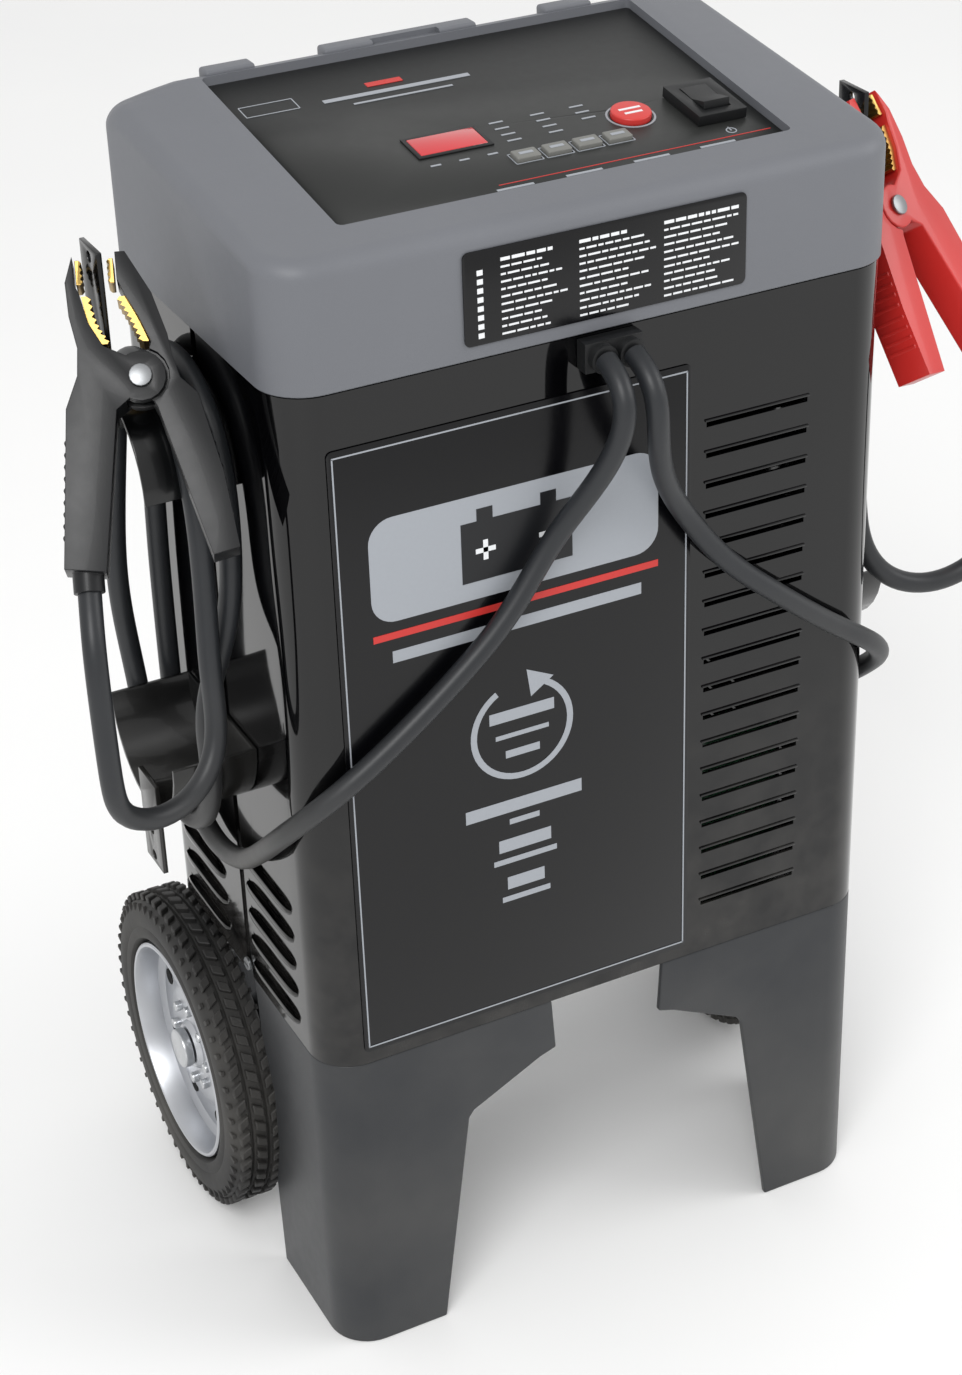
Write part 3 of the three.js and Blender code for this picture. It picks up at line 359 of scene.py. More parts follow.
def turn(profile, axis, centre, segments=64):
    """A closed profile of (radius, along) points turned about an axis, which passes through centre."""
    bm = bmesh.new()
    order = {"x": (1, 2, 0), "y": (0, 2, 1), "z": (0, 1, 2)}[axis]
    rings = []
    for i in range(segments):
        angle = 2 * math.pi * i / segments
        ring = []
        for radius, along in profile:
            co = [0.0, 0.0, 0.0]
            co[order[0]] = centre[0] + radius * math.cos(angle)
            co[order[1]] = centre[1] + radius * math.sin(angle)
            co[order[2]] = along
            ring.append(bm.verts.new(co))
        rings.append(ring)
    count = len(profile)
    for i, ring in enumerate(rings):
        following = rings[(i + 1) % segments]
        for k in range(count):
            n = (k + 1) % count
            bm.faces.new((ring[k], ring[n], following[n], following[k]))
    bmesh.ops.remove_doubles(bm, verts=bm.verts, dist=1e-5)
    bmesh.ops.recalc_face_normals(bm, faces=bm.faces)
    return bm


def rod(axis, radius, low, high, centre, segments=32, edge=0.4):
    """A round bar with slightly rounded ends."""
    e = min(edge, radius * 0.4, (high - low) * 0.4)
    profile = [(0, low), (radius - e, low), (radius, low + e)]
    profile += [(radius, high - e), (radius - e, high), (0, high)]
    return turn(profile, axis, centre, segments)


def merge(*parts):
    """Several bmeshes as one."""
    whole = bmesh.new()
    for part in parts:
        mesh = bpy.data.meshes.new("part")
        part.to_mesh(mesh)
        whole.from_mesh(mesh)
        bpy.data.meshes.remove(mesh)
    return whole


def bevel(bm, width, segments=2, angle=30):
    """Rounds every edge that is sharper than angle."""
    limit = math.radians(angle)
    bmesh.ops.dissolve_limit(bm, angle_limit=math.radians(1), verts=bm.verts, edges=bm.edges)
    sharp = [e for e in bm.edges if len(e.link_faces) == 2 and e.calc_face_angle(0) > limit]
    bmesh.ops.bevel(
        bm, geom=sharp, offset=width, segments=segments, affect="EDGES", profile=0.5, clamp_overlap=True
    )
    return bm


def move(bm, matrix):
    bmesh.ops.transform(bm, matrix=matrix, verts=bm.verts)
    return bm


def to_object(name, bm):
    mesh = bpy.data.meshes.new(name)
    bm.to_mesh(mesh)
    made = bpy.data.objects.new(name, mesh)
    bpy.context.scene.collection.objects.link(made)
    return made


def plain_mesh(made):
    """The object's mesh with its modifiers applied, and the modifiers gone."""
    graph = bpy.context.evaluated_depsgraph_get()
    graph.update()
    mesh = bpy.data.meshes.new_from_object(made.evaluated_get(graph))
    made.modifiers.clear()
    made.data = mesh
    return made


def boolean(base, tool, operation="DIFFERENCE"):
    """One bmesh cut by, joined to, or kept inside another."""
    first = to_object("base", base)
    second = to_object("tool", tool)
    modifier = first.modifiers.new("cut", "BOOLEAN")
    modifier.operation = operation
    modifier.solver = "EXACT"
    modifier.object = second
    plain_mesh(first)
    result = bmesh.new()
    result.from_mesh(first.data)
    for made in (first, second):
        bpy.data.objects.remove(made)
    return result


def piece(name, bm, material, body="charger", replaces=(), smooth=32):
    """A bmesh in millimetres as a finished piece that rides on a body."""
    for vertex in bm.verts:
        vertex.co = at(*vertex.co)
    bm.normal_update()
    made = to_object(name, bm)
    made.data.materials.append(finishes[material])
    for polygon in made.data.polygons:
        polygon.use_smooth = True
    made.data.set_sharp_from_angle(angle=math.radians(smooth))
    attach(made, body)
    if replaces:
        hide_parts(*replaces)
    return made


def refined(node, width, material, body="charger", segments=2, angle=28, smooth=32):
    """A CAD node's own shape with its edges rounded, as a piece that stands for it."""
    bm = bmesh.new()
    bm.from_mesh(bpy.data.objects[node].data)
    bmesh.ops.transform(bm, matrix=Matrix.Diagonal((1000, 1000, 1000, 1)), verts=bm.verts)
    bmesh.ops.translate(bm, vec=(0, -SHIFT_Y, 0), verts=bm.verts)
    bmesh.ops.remove_doubles(bm, verts=bm.verts, dist=1e-3)
    bevel(bm, width, segments, angle)
    return piece(node + "_moulded", bm, material, body, [node], smooth)


def sweep(points, radius, sides=10):
    """A round wire along points, closed at both ends."""
    bm = bmesh.new()
    rings = []
    side = None
    for i, here in enumerate(points):
        ahead = (points[min(i + 1, len(points) - 1)] - points[max(i - 1, 0)]).normalized()
        side = ahead.orthogonal() if side is None else side - ahead * side.dot(ahead)
        side.normalize()
        other = ahead.cross(side)
        turns = [2 * math.pi * k / sides for k in range(sides)]
        section = [here + (side * math.cos(t) + other * math.sin(t)) * radius for t in turns]
        rings.append([bm.verts.new(place) for place in section])
    for a, b in zip(rings, rings[1:]):
        for k in range(sides):
            n = (k + 1) % sides
            bm.faces.new((a[k], a[n], b[n], b[k]))
    bm.faces.new(rings[0])
    bm.faces.new(rings[-1])
    bmesh.ops.recalc_face_normals(bm, faces=bm.faces)
    return bm


def smooth_path(points, step=0.1, closed=False):
    """Points along a Catmull-Rom curve through the given points."""
    points = [Vector(p) for p in points]
    if closed:
        ends = [points[-1]] + points + points[:2]
    else:
        ends = [2 * points[0] - points[1]] + points + [2 * points[-1] - points[-2]]
    found = []
    for i in range(1, len(ends) - 2):
        a, b, c, d = ends[i - 1], ends[i], ends[i + 1], ends[i + 2]
        t = 0.0
        while t < 1 - 1e-6:
            found.append(
                0.5
                * (2 * b + (c - a) * t + (2 * a - 5 * b + 4 * c - d) * t**2 + (3 * b - a - 3 * c + d) * t**3)
            )
            t += step
    if not closed:
        found.append(points[-1].copy())
    return found


def evened(points, spacing=4.0, passes=12):
    """The same path with points evenly spaced and its sharpest turns eased, its two ends kept straight."""
    even = [points[0].copy()]
    left = spacing
    for a, b in zip(points, points[1:]):
        gap = (b - a).length
        while gap > 1e-9 and left <= gap:
            a = a.lerp(b, left / gap)
            gap = (b - a).length
            even.append(a.copy())
            left = spacing
        left -= gap
    even.append(points[-1].copy())
    for _ in range(passes):
        eased = [(even[i - 1] + 2 * even[i] + even[i + 1]) / 4 for i in range(1, len(even) - 1)]
        even = [even[0]] + eased + [even[-1]]
    return even


print("mesh helpers ready")

# %% [markdown]
# ## Battery leads
# Each lead is one cable. It leaves the gland under the cover, hangs across the front, rounds the corner,
# winds over the two side hooks, one and a half times on the left and once on the right, and loops down and up
# into its clamp. It is a poly curve, and its length is measured along its points.

# %% Lay the two leads
LEAD = 10.4
HOOK_TOP, HOOK_BOTTOM = 476, 338
WIND = 49


def wound(sign, turns):
    """The wound part: up at the back, over the upper hook, down at the front and under the lower one."""
    points = []
    for start, end, x_back, x_top, x_front, x_low in turns:
        rise = [(x_back, WIND + 3, 400), (x_back, WIND, 440)] if start else []
        arc = [
            (
                x_back + (x_top - x_back) * k / 4,
                WIND * math.cos(k * math.pi / 4),
                HOOK_TOP + WIND * math.sin(k * math.pi / 4),
            )
            for k in range(5)
        ]
        points += rise + arc
        if end:
            points += [(x_front, -WIND, 420), (x_low, -WIND, 372)]
            points += [
                (x_low, -WIND * math.cos(k * math.pi / 4), HOOK_BOTTOM - WIND * math.sin(k * math.pi / 4))
                for k in range(5)
            ]
            points += [(x_low + 4, WIND, 400)]
    return [(sign * x, y, z) for x, y, z in points]


CLAMP_BITE = Vector((196.05, 0, 574))
HANGING = {-1: (20, 38), 1: (24, 34)}  # each clamp's turn and tilt in degrees, left then right
BOOT_ACROSS, BOOT_END = -12.8, 142.8


def clamp_frame(sign):
    """A clamp's own frame: x across the jaws, y through its thickness, z up from the handles."""
    turned, tilt = (math.radians(v) for v in HANGING[sign])
    across = Vector((-math.cos(turned), -math.sin(turned), 0))
    up = Vector((-math.sin(turned) * math.sin(tilt), math.cos(turned) * math.sin(tilt), math.cos(tilt)))
    through = up.cross(across)
    rows = [(across[i], through[i], up[i], CLAMP_BITE[i]) for i in range(3)] + [(0, 0, 0, 1)]
    return Matrix.Diagonal((sign, 1, 1, 1)) @ Matrix(rows)


def lead_route(sign):
    start = 1.5 + sign * 7
    hold = clamp_frame(sign)
    boot = hold @ Vector((BOOT_ACROSS, 0, -BOOT_END))
    below = hold @ Vector((BOOT_ACROSS, 0, -BOOT_END - 30))
    boot.x, below.x = abs(boot.x), abs(below.x)
    turns = [(True, True, 162, 162, 165, 181), (False, False, 177, 177, 0, 0)]
    out = 0
    if sign > 0:
        turns = [(True, False, 162, 162, 0, 0)]
        out = -15
    route = [(start, -113.5, 529.5)]
    for k in range(1, 6):
        angle = k * math.pi / 10
        route.append((start + sign * k / 8, -115.5 - 18 * math.sin(angle), 511.5 + 18 * math.cos(angle)))
    route += [
        (start + sign * 4, -128, 492),
        (start + sign * 12, -118, 470),
        (start + sign * 26, -109, 446),
        (start + sign * 50, -109, 413),
        (start + sign * 80, -109, 386),
        (sign * 122, -109, 359),
        (sign * 148, -105, 340),
        (sign * 163, -90, 320),
        (sign * 163, -55, 289),
        (sign * 162, -25, 267),
        (sign * 162, 5, 258),
        (sign * 162, 29, 263),
        (sign * 162, 45, 281),
        (sign * 162, 52, 306),
        (sign * 162, 53, 345),
    ]
    route += wound(sign, turns)
    near, far = 181 + out, below.x - 1
    middle, bend = (near + far) / 2, (far - near) / 2
    route += [(sign * (178 + out), -54, 440), (sign * near, -60, 400)]
    for k in range(7):
        angle = math.pi + k * math.pi / 6
        depth = -62 + (below.y + 62) * k / 6
        route.append((sign * (middle + bend * math.cos(angle)), depth, 341 + bend + bend * math.sin(angle)))
    route += [(sign * below.x, below.y, below.z), (sign * boot.x, boot.y, boot.z)]
    return [Vector(p) for p in route]


def lead_curve(name, sign):
    points = [at(*p) for p in evened(smooth_path(lead_route(sign), 0.1))]
    curve = bpy.data.curves.new(name, "CURVE")
    curve.dimensions = "3D"
    curve.bevel_depth = LEAD / 2000
    curve.bevel_resolution = 6
    curve.use_fill_caps = True
    spline = curve.splines.new("POLY")
    spline.points.add(len(points) - 1)
    for slot, point in zip(spline.points, points):
        slot.co = (*point, 1)
    spline.use_smooth = True
    made = bpy.data.objects.new(name, curve)
    bpy.context.scene.collection.objects.link(made)
    curve.materials.append(finishes["lead"])
    side = "left" if sign < 0 else "right"
    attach(made, "charger")
    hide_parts("lead_run_" + side, "lead_wraps_" + side, "lead_tail_" + side)
    length = sum((b - a).length for a, b in zip(points, points[1:]))
    return made, points[0], length


SIDES = (("left", -1), ("right", 1))
leads = {side: lead_curve("lead_" + side, sign) for side, sign in SIDES}
print("lead lengths", {side: round(made[2], 3) for side, made in leads.items()})

# %% [markdown]
# ## Studio
# Gloss paint shows what is around it more than its own colour. So the studio is mostly something to mirror: a
# pale floor, a pale sky all round, and two large soft lamps whose edges don't show as hard spots.


# %% Light the studio
def studio_floor():
    bm = bmesh.new()
    bmesh.ops.create_grid(bm, x_segments=2, y_segments=2, size=6.0)
    made = to_object("floor", bm)
    graph = Graph("floor")
    speck = graph.noise(3, 3)
    graph.link("Base Color", graph.blend(speck, shade((240, 240, 240)), shade((244, 244, 243))))
    graph.link("Roughness", speck * 0.1 + 0.55)
    made.data.materials.append(graph.material)


def soft_lamp(name, place, target, size, power):
    lamp = bpy.data.objects.new(name, bpy.data.lights.new(name, "AREA"))
    lamp.data.shape = "DISK"
    lamp.data.size = size
    lamp.data.energy = power
    lamp.location = place
    lamp.rotation_euler = (Vector(target) - Vector(place)).to_track_quat("-Z", "Y").to_euler()
    bpy.context.scene.collection.objects.link(lamp)


studio_floor()
world = bpy.data.worlds.new("studio")
bpy.context.scene.world = world
world.use_nodes = True
world.node_tree.nodes["Background"].inputs["Color"].default_value = (1.0, 1.0, 1.0, 1)
world.node_tree.nodes["Background"].inputs["Strength"].default_value = 0.85
soft_lamp("key", (-1.6, -1.9, 2.6), (0, 0, 0.3), 1.6, 55)
soft_lamp("fill", (2.2, -1.2, 1.8), (0, 0, 0.3), 1.8, 22)
bpy.context.scene.view_settings.view_transform = "Standard"
print("studio lit")

# %% [markdown]
# ## Housing
# Two glossy sheets meet in a recessed seam on each side. Each is an outline with bent corners, raised to its
# height and pierced by booleans, which keeps the sheet one thickness all over. The front sheet has a column of
# narrow louvres, and both have pressed hoods near the bottom.

# %% Bend and pierce the sheets
HALF_W, HALF_D = 155, 100
BODY_LOW, BODY_TOP = 182, 537.5
CORNER = 22


def corner_points(inset, quarters, steps=14):
    """Points round the housing's corners at an inset, quarter by quarter from the back right one."""
    points = []
    for quarter in quarters:
        sx = 1 if quarter in (0, 3) else -1
        sy = 1 if quarter in (0, 1) else -1
        for k in range(steps + 1):
            angle = (quarter + k / steps) * math.pi / 2
            points.append(
                (
                    sx * (HALF_W - CORNER) + (CORNER - inset) * math.cos(angle),
                    sy * (HALF_D - CORNER) + (CORNER - inset) * math.sin(angle),
                )
            )
    return points


def bent_sheet(quarters, edge_y, wall=1.5, low=BODY_LOW, top=BODY_TOP):
    outer = corner_points(0, quarters)
    inner = corner_points(wall, quarters)
    outline = [(outer[0][0], edge_y)] + outer + [(outer[-1][0], edge_y)]
    outline += [(inner[-1][0], edge_y)] + inner[::-1] + [(inner[0][0], edge_y)]
    return extrude(outline, "z", low, top)


LOUVRES = [211.8 + i * 15.7 for i in range(18)]
SLOT_ROWS = [194.5 + i * 16.4 for i in range(5)]
SLOT_SPANS = {"front": (-69, -12), "rear": (20, 75)}
FAN_HOLE, FAN_CENTRE = 43, (60, 350)
MAINS_HOLE, MAINS_CENTRE = 11, (-100, 216)

slits = merge(*[block((54, -103, z - 1.3), (108.5, -96, z + 1.5)) for z in LOUVRES])
front = boolean(bent_sheet((2, 3), -8), slits)
rear = bent_sheet((0, 1), -2)
for side, sign in SIDES:
    for label, (y0, y1) in SLOT_SPANS.items():
        rows = SLOT_ROWS if label == "front" else SLOT_ROWS[:4]
        x = sorted((sign * 150, sign * 160))
        cutter = merge(*[block((x[0], y0 + 2, z + 0.2), (x[1], y1 - 2, z + 3.4)) for z in rows])
        if label == "front":
            front = boolean(front, cutter)
        else:
            rear = boolean(rear, cutter)
for radius, centre, sides in ((FAN_HOLE, FAN_CENTRE, 64), (MAINS_HOLE, MAINS_CENTRE, 32)):
    rear = boolean(rear, rod("y", radius, 90, 106, centre, sides))
piece("front_sheet_skin", front, "gloss", replaces=["front_sheet"])
piece("rear_sheet_skin", rear, "gloss", replaces=["rear_sheet"])


def hood(sign, y0, y1, z):
    """A pressed hood over a slot: closed below and open at its upper lip."""
    bm = bmesh.new()
    rows, columns = 7, 24
    layers = []
    for thickness in (0.0, 0.6):
        grid = []
        for i in range(columns + 1):
            along = -1 + 2 * i / columns
            bulge = max(0.0, 1 - abs(along) ** 5) ** 0.5
            line = []
            for k in range(rows + 1):
                angle = math.radians(-90 + 118 * k / rows)
                out = (3.0 - thickness) * bulge * math.cos(angle)
                rise = (3.6 - thickness * bulge) * (0.35 + 0.65 * bulge) * math.sin(angle)
                y = (y0 + y1) / 2 + along * (y1 - y0) / 2
                line.append(bm.verts.new((sign * (HALF_W + out - 0.05), y, z + rise)))
            grid.append(line)
        layers.append(grid)
    outer, inner = layers
    for i in range(columns):
        for k in range(rows):
            bm.faces.new((outer[i][k], outer[i + 1][k], outer[i + 1][k + 1], outer[i][k + 1]))
            bm.faces.new((inner[i][k], inner[i][k + 1], inner[i + 1][k + 1], inner[i + 1][k]))
        bm.faces.new((outer[i][rows], outer[i + 1][rows], inner[i + 1][rows], inner[i][rows]))
        bm.faces.new((outer[i][0], inner[i][0], inner[i + 1][0], outer[i + 1][0]))
    for i in (0, columns):
        for k in range(rows):
            bm.faces.new((outer[i][k], outer[i][k + 1], inner[i][k + 1], inner[i][k]))
    bmesh.ops.remove_doubles(bm, verts=bm.verts, dist=0.002)
    bmesh.ops.recalc_face_normals(bm, faces=bm.faces)
    return bm


for side, sign in SIDES:
    hoods = [hood(sign, *SLOT_SPANS["front"], z) for z in SLOT_ROWS]
    hoods += [hood(sign, *SLOT_SPANS["rear"], z) for z in SLOT_ROWS[:4]]
    piece("hoods_" + side, merge(*hoods), "gloss")
    x = sorted((sign * 152.0, sign * 153.4))
    piece("seam_strip_" + side, block((x[0], -12, 196), (x[1], 2, 522)), "gloss")
    head = rod("x", 3.6, *sorted((sign * 155.3, sign * 157.2)), (-5, 189), 24)
    slot_cut = block((min(sign * 156.6, sign * 158), -8, 188.5), (max(sign * 156.6, sign * 158), -2, 189.5))
    piece("seam_screw_head_" + side, boolean(head, slot_cut), "steel", replaces=["seam_screw_" + side])
lips = merge(*[bevel(block((53, -100.9, z + 1.6), (109.5, -99.6, z + 2.8)), 0.4, 2) for z in LOUVRES])
piece("louvre_lips", lips, "gloss")
print("housing done")

# %% [markdown]
# ## Cover
# The moulded cover has no flat top: it falls towards the front, rolls down at the back and drops at both
# wings. A bevelled box can't do that, so it is lofted in rings: up from its lower edge, over a rounded rim,
# across the two wings and down into the recess of the control panel.

# %% Loft the cover
COVER_LOW = 538.3
OVERHANG = 1.2  # how far the cover stands out past the housing
PANEL_HALF, PANEL_FRONT, PANEL_BACK = 112, -75.5, 73.0
PANEL_LEAN = math.radians(8.25)
SLOPE = math.tan(PANEL_LEAN)


def panel_height(y):
    return 596.6 + SLOPE * (y + 75)


def step(low, high, value):
    t = min(1.0, max(0.0, (value - low) / (high - low)))
    return t * t * (3 - 2 * t)


def top_height(x, y):
    """The cover's top before its rim is rounded."""
    crest = panel_height(y) + 4.2
    wing = max(0.0, (abs(x) - 118) / 38)
    drop = 7.5 * (0.5 + y / 200) * wing**1.2
    fall = 21.0 * (1 - math.sqrt(max(0.0, 1 - (max(0.0, y - 76) / 25.6) ** 2)))
    level = crest - drop - 4.0 * step(74.5, 82, y)
    middle = 4.0 * step(73.2, 74.6, y) * (1 - step(112.5, 114.5, abs(x))) * (1 - step(74.5, 82, y))
    return level - middle - fall


def cover_ring(half_w, half_d, radius, centre_y=0.0, per_side=26, per_corner=12):
    """Points round a rounded rectangle, the same count for any size, so that two rings can be joined."""
    radius = max(radius, 0.3)
    points = []
    corners = [(1, 1), (-1, 1), (-1, -1), (1, -1)]
    for quarter, (sx, sy) in enumerate(corners):
        cx, cy = sx * (half_w - radius), centre_y + sy * (half_d - radius)
        for k in range(per_corner + 1):
            angle = (quarter + k / per_corner) * math.pi / 2
            points.append((cx + radius * math.cos(angle), cy + radius * math.sin(angle)))
        nx, ny = corners[(quarter + 1) % 4]
        ex, ey = nx * (half_w - radius), centre_y + ny * (half_d - radius)
        start = points[-1]
        turn_angle = (quarter + 1) * math.pi / 2
        end = (ex + radius * math.cos(turn_angle), ey + radius * math.sin(turn_angle))
        for k in range(1, per_side):
            t = k / per_side
            points.append((start[0] + (end[0] - start[0]) * t, start[1] + (end[1] - start[1]) * t))
    return points


def cover_mesh():
    half_w, half_d, radius = HALF_W + OVERHANG, HALF_D + OVERHANG, CORNER + OVERHANG
    outline = cover_ring(half_w, half_d, radius)
    rings = []

    def ring(points, heights):
        rings.append([bm.verts.new((x, y, z)) for (x, y), z in zip(points, heights)])

    bm = bmesh.new()
    wall = 3.0
    inner = cover_ring(half_w - wall, half_d - wall, radius - wall)
    ring(inner, [COVER_LOW + 10] * len(inner))
    ring(inner, [COVER_LOW] * len(inner))
    ring(cover_ring(half_w - 0.6, half_d - 0.6, radius - 0.6), [COVER_LOW] * len(inner))
    ring(outline, [COVER_LOW + 0.6] * len(inner))
    ring(outline, [COVER_LOW + 22] * len(inner))
    rim = 8.0
    for k in range(9):
        angle = k / 8 * math.pi / 2
        inset = rim * (1 - math.cos(angle))
        points = cover_ring(half_w - inset, half_d - inset, radius - inset)
        rise = [top_height(x, y) - rim * (1 - math.sin(angle)) for x, y in points]
        ring(points, rise)
    recess = cover_ring(PANEL_HALF, (PANEL_BACK - PANEL_FRONT) / 2, 3, (PANEL_BACK + PANEL_FRONT) / 2)
    start = cover_ring(half_w - rim, half_d - rim, radius - rim)
    steps = 16
    for k in range(1, steps + 1):
        t = k / steps
        points = [(a[0] + (b[0] - a[0]) * t, a[1] + (b[1] - a[1]) * t) for a, b in zip(start, recess)]
        ring(points, [top_height(x, y) for x, y in points])
    ring(recess, [panel_height(y) - 2.4 for x, y in recess])
    for here, there in zip(rings, rings[1:]):
        for i in range(len(here)):
            j = (i + 1) % len(here)
            bm.faces.new((here[i], here[j], there[j], there[i]))
    bm.faces.new(rings[-1])
    bm.faces.new(rings[0])
    bmesh.ops.recalc_face_normals(bm, faces=bm.faces)
    return bm


def cover_details(bm):
    """The cover with the three lugs at its back; the middle one has a notch."""
    parts = [bm]
    for centre, half in ((-92.5, 12.5), (85, 13), (-5, 40)):
        z = panel_height(88) - 4
        lug = bevel(block((centre - half, 84, z - 9), (centre + half, 94, z + 4.6)), 1.6, 3)
        if half == 40:
            lug = boolean(lug, block((-20, 82, z + 2), (15, 88, z + 9)))
        parts.append(lug)
    return merge(*parts)


HAND_RECESS = ((-40, 77.5, 583), (40, 108, 606))
shell = boolean(cover_mesh(), bevel(block(*HAND_RECESS), 4, 4))
cover = piece("cover_shell", cover_details(shell), "cover", replaces=["top_cover"], smooth=38)
# Painted shade: a near-black ring stands in the gap between the housing and the cover
gap = extrude(corner_points(2.2, (0, 1, 2, 3)), "z", BODY_TOP - 1.2, COVER_LOW + 1)
piece("cover_gap", gap, "dark")
print("cover faces", len(cover.data.polygons))

# %% [markdown]
# ## Control panel
# A sloping sheet in the cover's recess carries a red window, one round button, four small keys and a rocker.
# Every mark on it is a generic bar or outline. The marks are thin raised ink, so they stay sharp up close.


# %% Set marks on the panel
PANEL_SHEET = 2.3
ROUND_BUTTON, DISPLAY = (55.5, -28), (-33, -19)
KEYS = [(-7 + i * 15.4, -44.3) for i in range(4)]


def on_panel(x, y):
    """A frame on the panel's face, its z square to the slope."""
    lean = Matrix.Rotation(PANEL_LEAN, 4, "X")
    under = Matrix.Translation((x, y, panel_height(y) - PANEL_SHEET))
    return under @ lean @ Matrix.Translation((0, 0, PANEL_SHEET))


def mark(x, y, width, depth, low=0.02, high=0.22):
    return move(block((-width / 2, -depth / 2, low), (width / 2, depth / 2, high)), on_panel(x, y))


def ring_mark(x, y, outer, inner, high=0.22):
    profile = [(inner, 0.02), (outer, 0.02), (outer, high), (inner, high)]
    return move(turn(profile, "z", (0, 0), 48), on_panel(x, y))


def outline_mark(x, y, width, depth, line=0.5):
    sides = [(0, depth / 2, width, line), (0, -depth / 2, width, line)]
    sides += [(-width / 2, 0, line, depth), (width / 2, 0, line, depth)]
    return merge(*[mark(x + a, y + b, w, d) for a, b, w, d in sides])


pale = [ring_mark(*ROUND_BUTTON, 11.6, 10.6)]
pale += [outline_mark(x, y, 13.4, 9.4) for x, y in KEYS]
pale += [mark(-47 + i * 14, -36, 5, 1.2) for i in range(3)]
pale += [mark(x, y, 7, 1.1) for x in (-4, 17, 37) for y in (-10, -16, -22, -28)[: 4 if x < 30 else 3]]
pale += [mark(-24 + i * 34, -67, 18, 1.6) for i in range(4)]
pale += [mark(-30, 38, 74, 3.0), mark(-30, 31, 50, 1.4)]
pale += [ring_mark(90.5, -58, 2.6, 2.0), mark(90.5, -56.4, 0.7, 3.4), outline_mark(-92, 42, 26, 10)]
piece("panel_marks", merge(*pale), "ink_grey")
piece("panel_rule", merge(mark(-33, 46, 18, 4), mark(39, -63, 138, 0.5)), "ink_red")
frame_ring = boolean(
    bevel(block((-18.6, -10, 0), (18.6, 10, 0.8)), 0.3, 2), block((-16.6, -8, -1), (16.6, 8, 2))
)
piece("display_frame", move(frame_ring, on_panel(*DISPLAY)), "black")
refined("display_lens", 0.5, "display")
refined("start_stop_button", 0.8, "red_button", "start_stop", 3)
BUTTON_BARS = ((5.5, 1), (4.5, -3))
bars = [block((-w, y, 3.02), (w, y + 1.5, 3.2)) for w, y in BUTTON_BARS]
bars = merge(*[move(bar, on_panel(*ROUND_BUTTON)) for bar in bars])
piece("start_stop_marks", bars, "ink_white", "start_stop")
for number, key_place in enumerate(KEYS, 1):
    refined("mode_button_%d" % number, 0.7, "grey_button", "mode_%d" % number, 2)
    glyph = move(block((-3.4, -1.0, 2.42), (3.4, 1.0, 2.58)), on_panel(*key_place))
    piece("mode_mark_%d" % number, glyph, "ink_grey", "mode_%d" % number)
refined("switch_bezel", 0.6, "black")
refined("switch_rocker", 0.5, "black", "rocker")
refined("control_panel", 0.35, "panel")
print("panel set")

# %% [markdown]
# ## Plates on the front
# The tall front label is black film with a thin pale border. It carries a grey badge with a battery sign, a
# ring arrow and three groups of bars. The plate on the cover has rows of fine bars beside a column of signs.


# %% Print the front plates
def flat_mark(x, z, width, height, face, lift=0.14):
    return block((x - width / 2, face - lift, z - height / 2), (x + width / 2, face + 0.05, z + height / 2))


LABEL_FACE, PLATE_FACE = -100.9, -102.1
refined("front_label", 0.2, "navy")
refined("instruction_plate", 0.2, "navy")
border = [flat_mark(x, 350.2, 0.7, 316, LABEL_FACE) for x in (-132.5, 43)]
border += [flat_mark(-44.75, z, 176, 0.7, LABEL_FACE) for z in (192.2, 508.2)]
piece("label_border", merge(*border), "ink_grey")

battery = [flat_mark(-45, 446, 56, 30, LABEL_FACE, 0.3)]
battery += [flat_mark(x, 464, 8, 6, LABEL_FACE, 0.3) for x in (-61, -29)]
piece("label_battery", merge(*battery), "ink_dark")
signs = [flat_mark(-61, 446, 10, 2.4, LABEL_FACE, 0.45), flat_mark(-29, 446, 10, 2.4, LABEL_FACE, 0.45)]
signs.append(flat_mark(-61, 446, 2.4, 10, LABEL_FACE, 0.45))
piece("label_signs", merge(*signs), "ink_white")
piece("label_red_bar", flat_mark(-45, 415, 146, 3.5, LABEL_FACE), "ink_red")


def round_corners(left, low, right, high, radius):
    """A rectangle's outline with quarter circles at its corners."""
    points = []
    for quarter, (x, z) in enumerate(((right, high), (left, high), (left, low), (right, low))):
        cx, cz = x + radius * (-1, 1, 1, -1)[quarter], z + radius * (-1, -1, 1, 1)[quarter]
        steps = [(quarter + k / 8) * math.pi / 2 for k in range(9)]
        points += [(cx + radius * math.cos(a), cz + radius * math.sin(a)) for a in steps]
    return points


def ring_arrow(x, z, radius, line):
    """Most of a ring with an arrow head at its open end."""
    steps = [math.radians(60 - 300 * k / 40) for k in range(41)]
    outer = [(x + radius * math.cos(a), z + radius * math.sin(a)) for a in steps]
    inner = [(x + (radius - line) * math.cos(a), z + (radius - line) * math.sin(a)) for a in reversed(steps)]
    ring = extrude(outer + inner, "y", LABEL_FACE - 0.14, LABEL_FACE)
    tip = [(x + 3, z + radius + 4), (x + 17, z + radius - 3), (x + 5, z + radius - 11)]
    return merge(ring, extrude(tip, "y", LABEL_FACE - 0.16, LABEL_FACE))


badge = round_corners(-118, 422, 28, 474, 12)
piece("label_badge", extrude(badge, "y", LABEL_FACE - 0.14, LABEL_FACE), "ink_grey")
rows = [(356, 34, 6), (345, 28, 2.4), (335, 18, 4), (306, 62, 7), (297, 16, 3), (284, 28, 7)]
rows += [(275, 34, 3), (262, 20, 7), (253, 26, 3), (404, 128, 6)]
text_bars = [flat_mark(-45, z, width, height, LABEL_FACE) for z, width, height in rows]
piece("label_bars", merge(ring_arrow(-45, 347, 27, 3.2), *text_bars), "ink_grey")

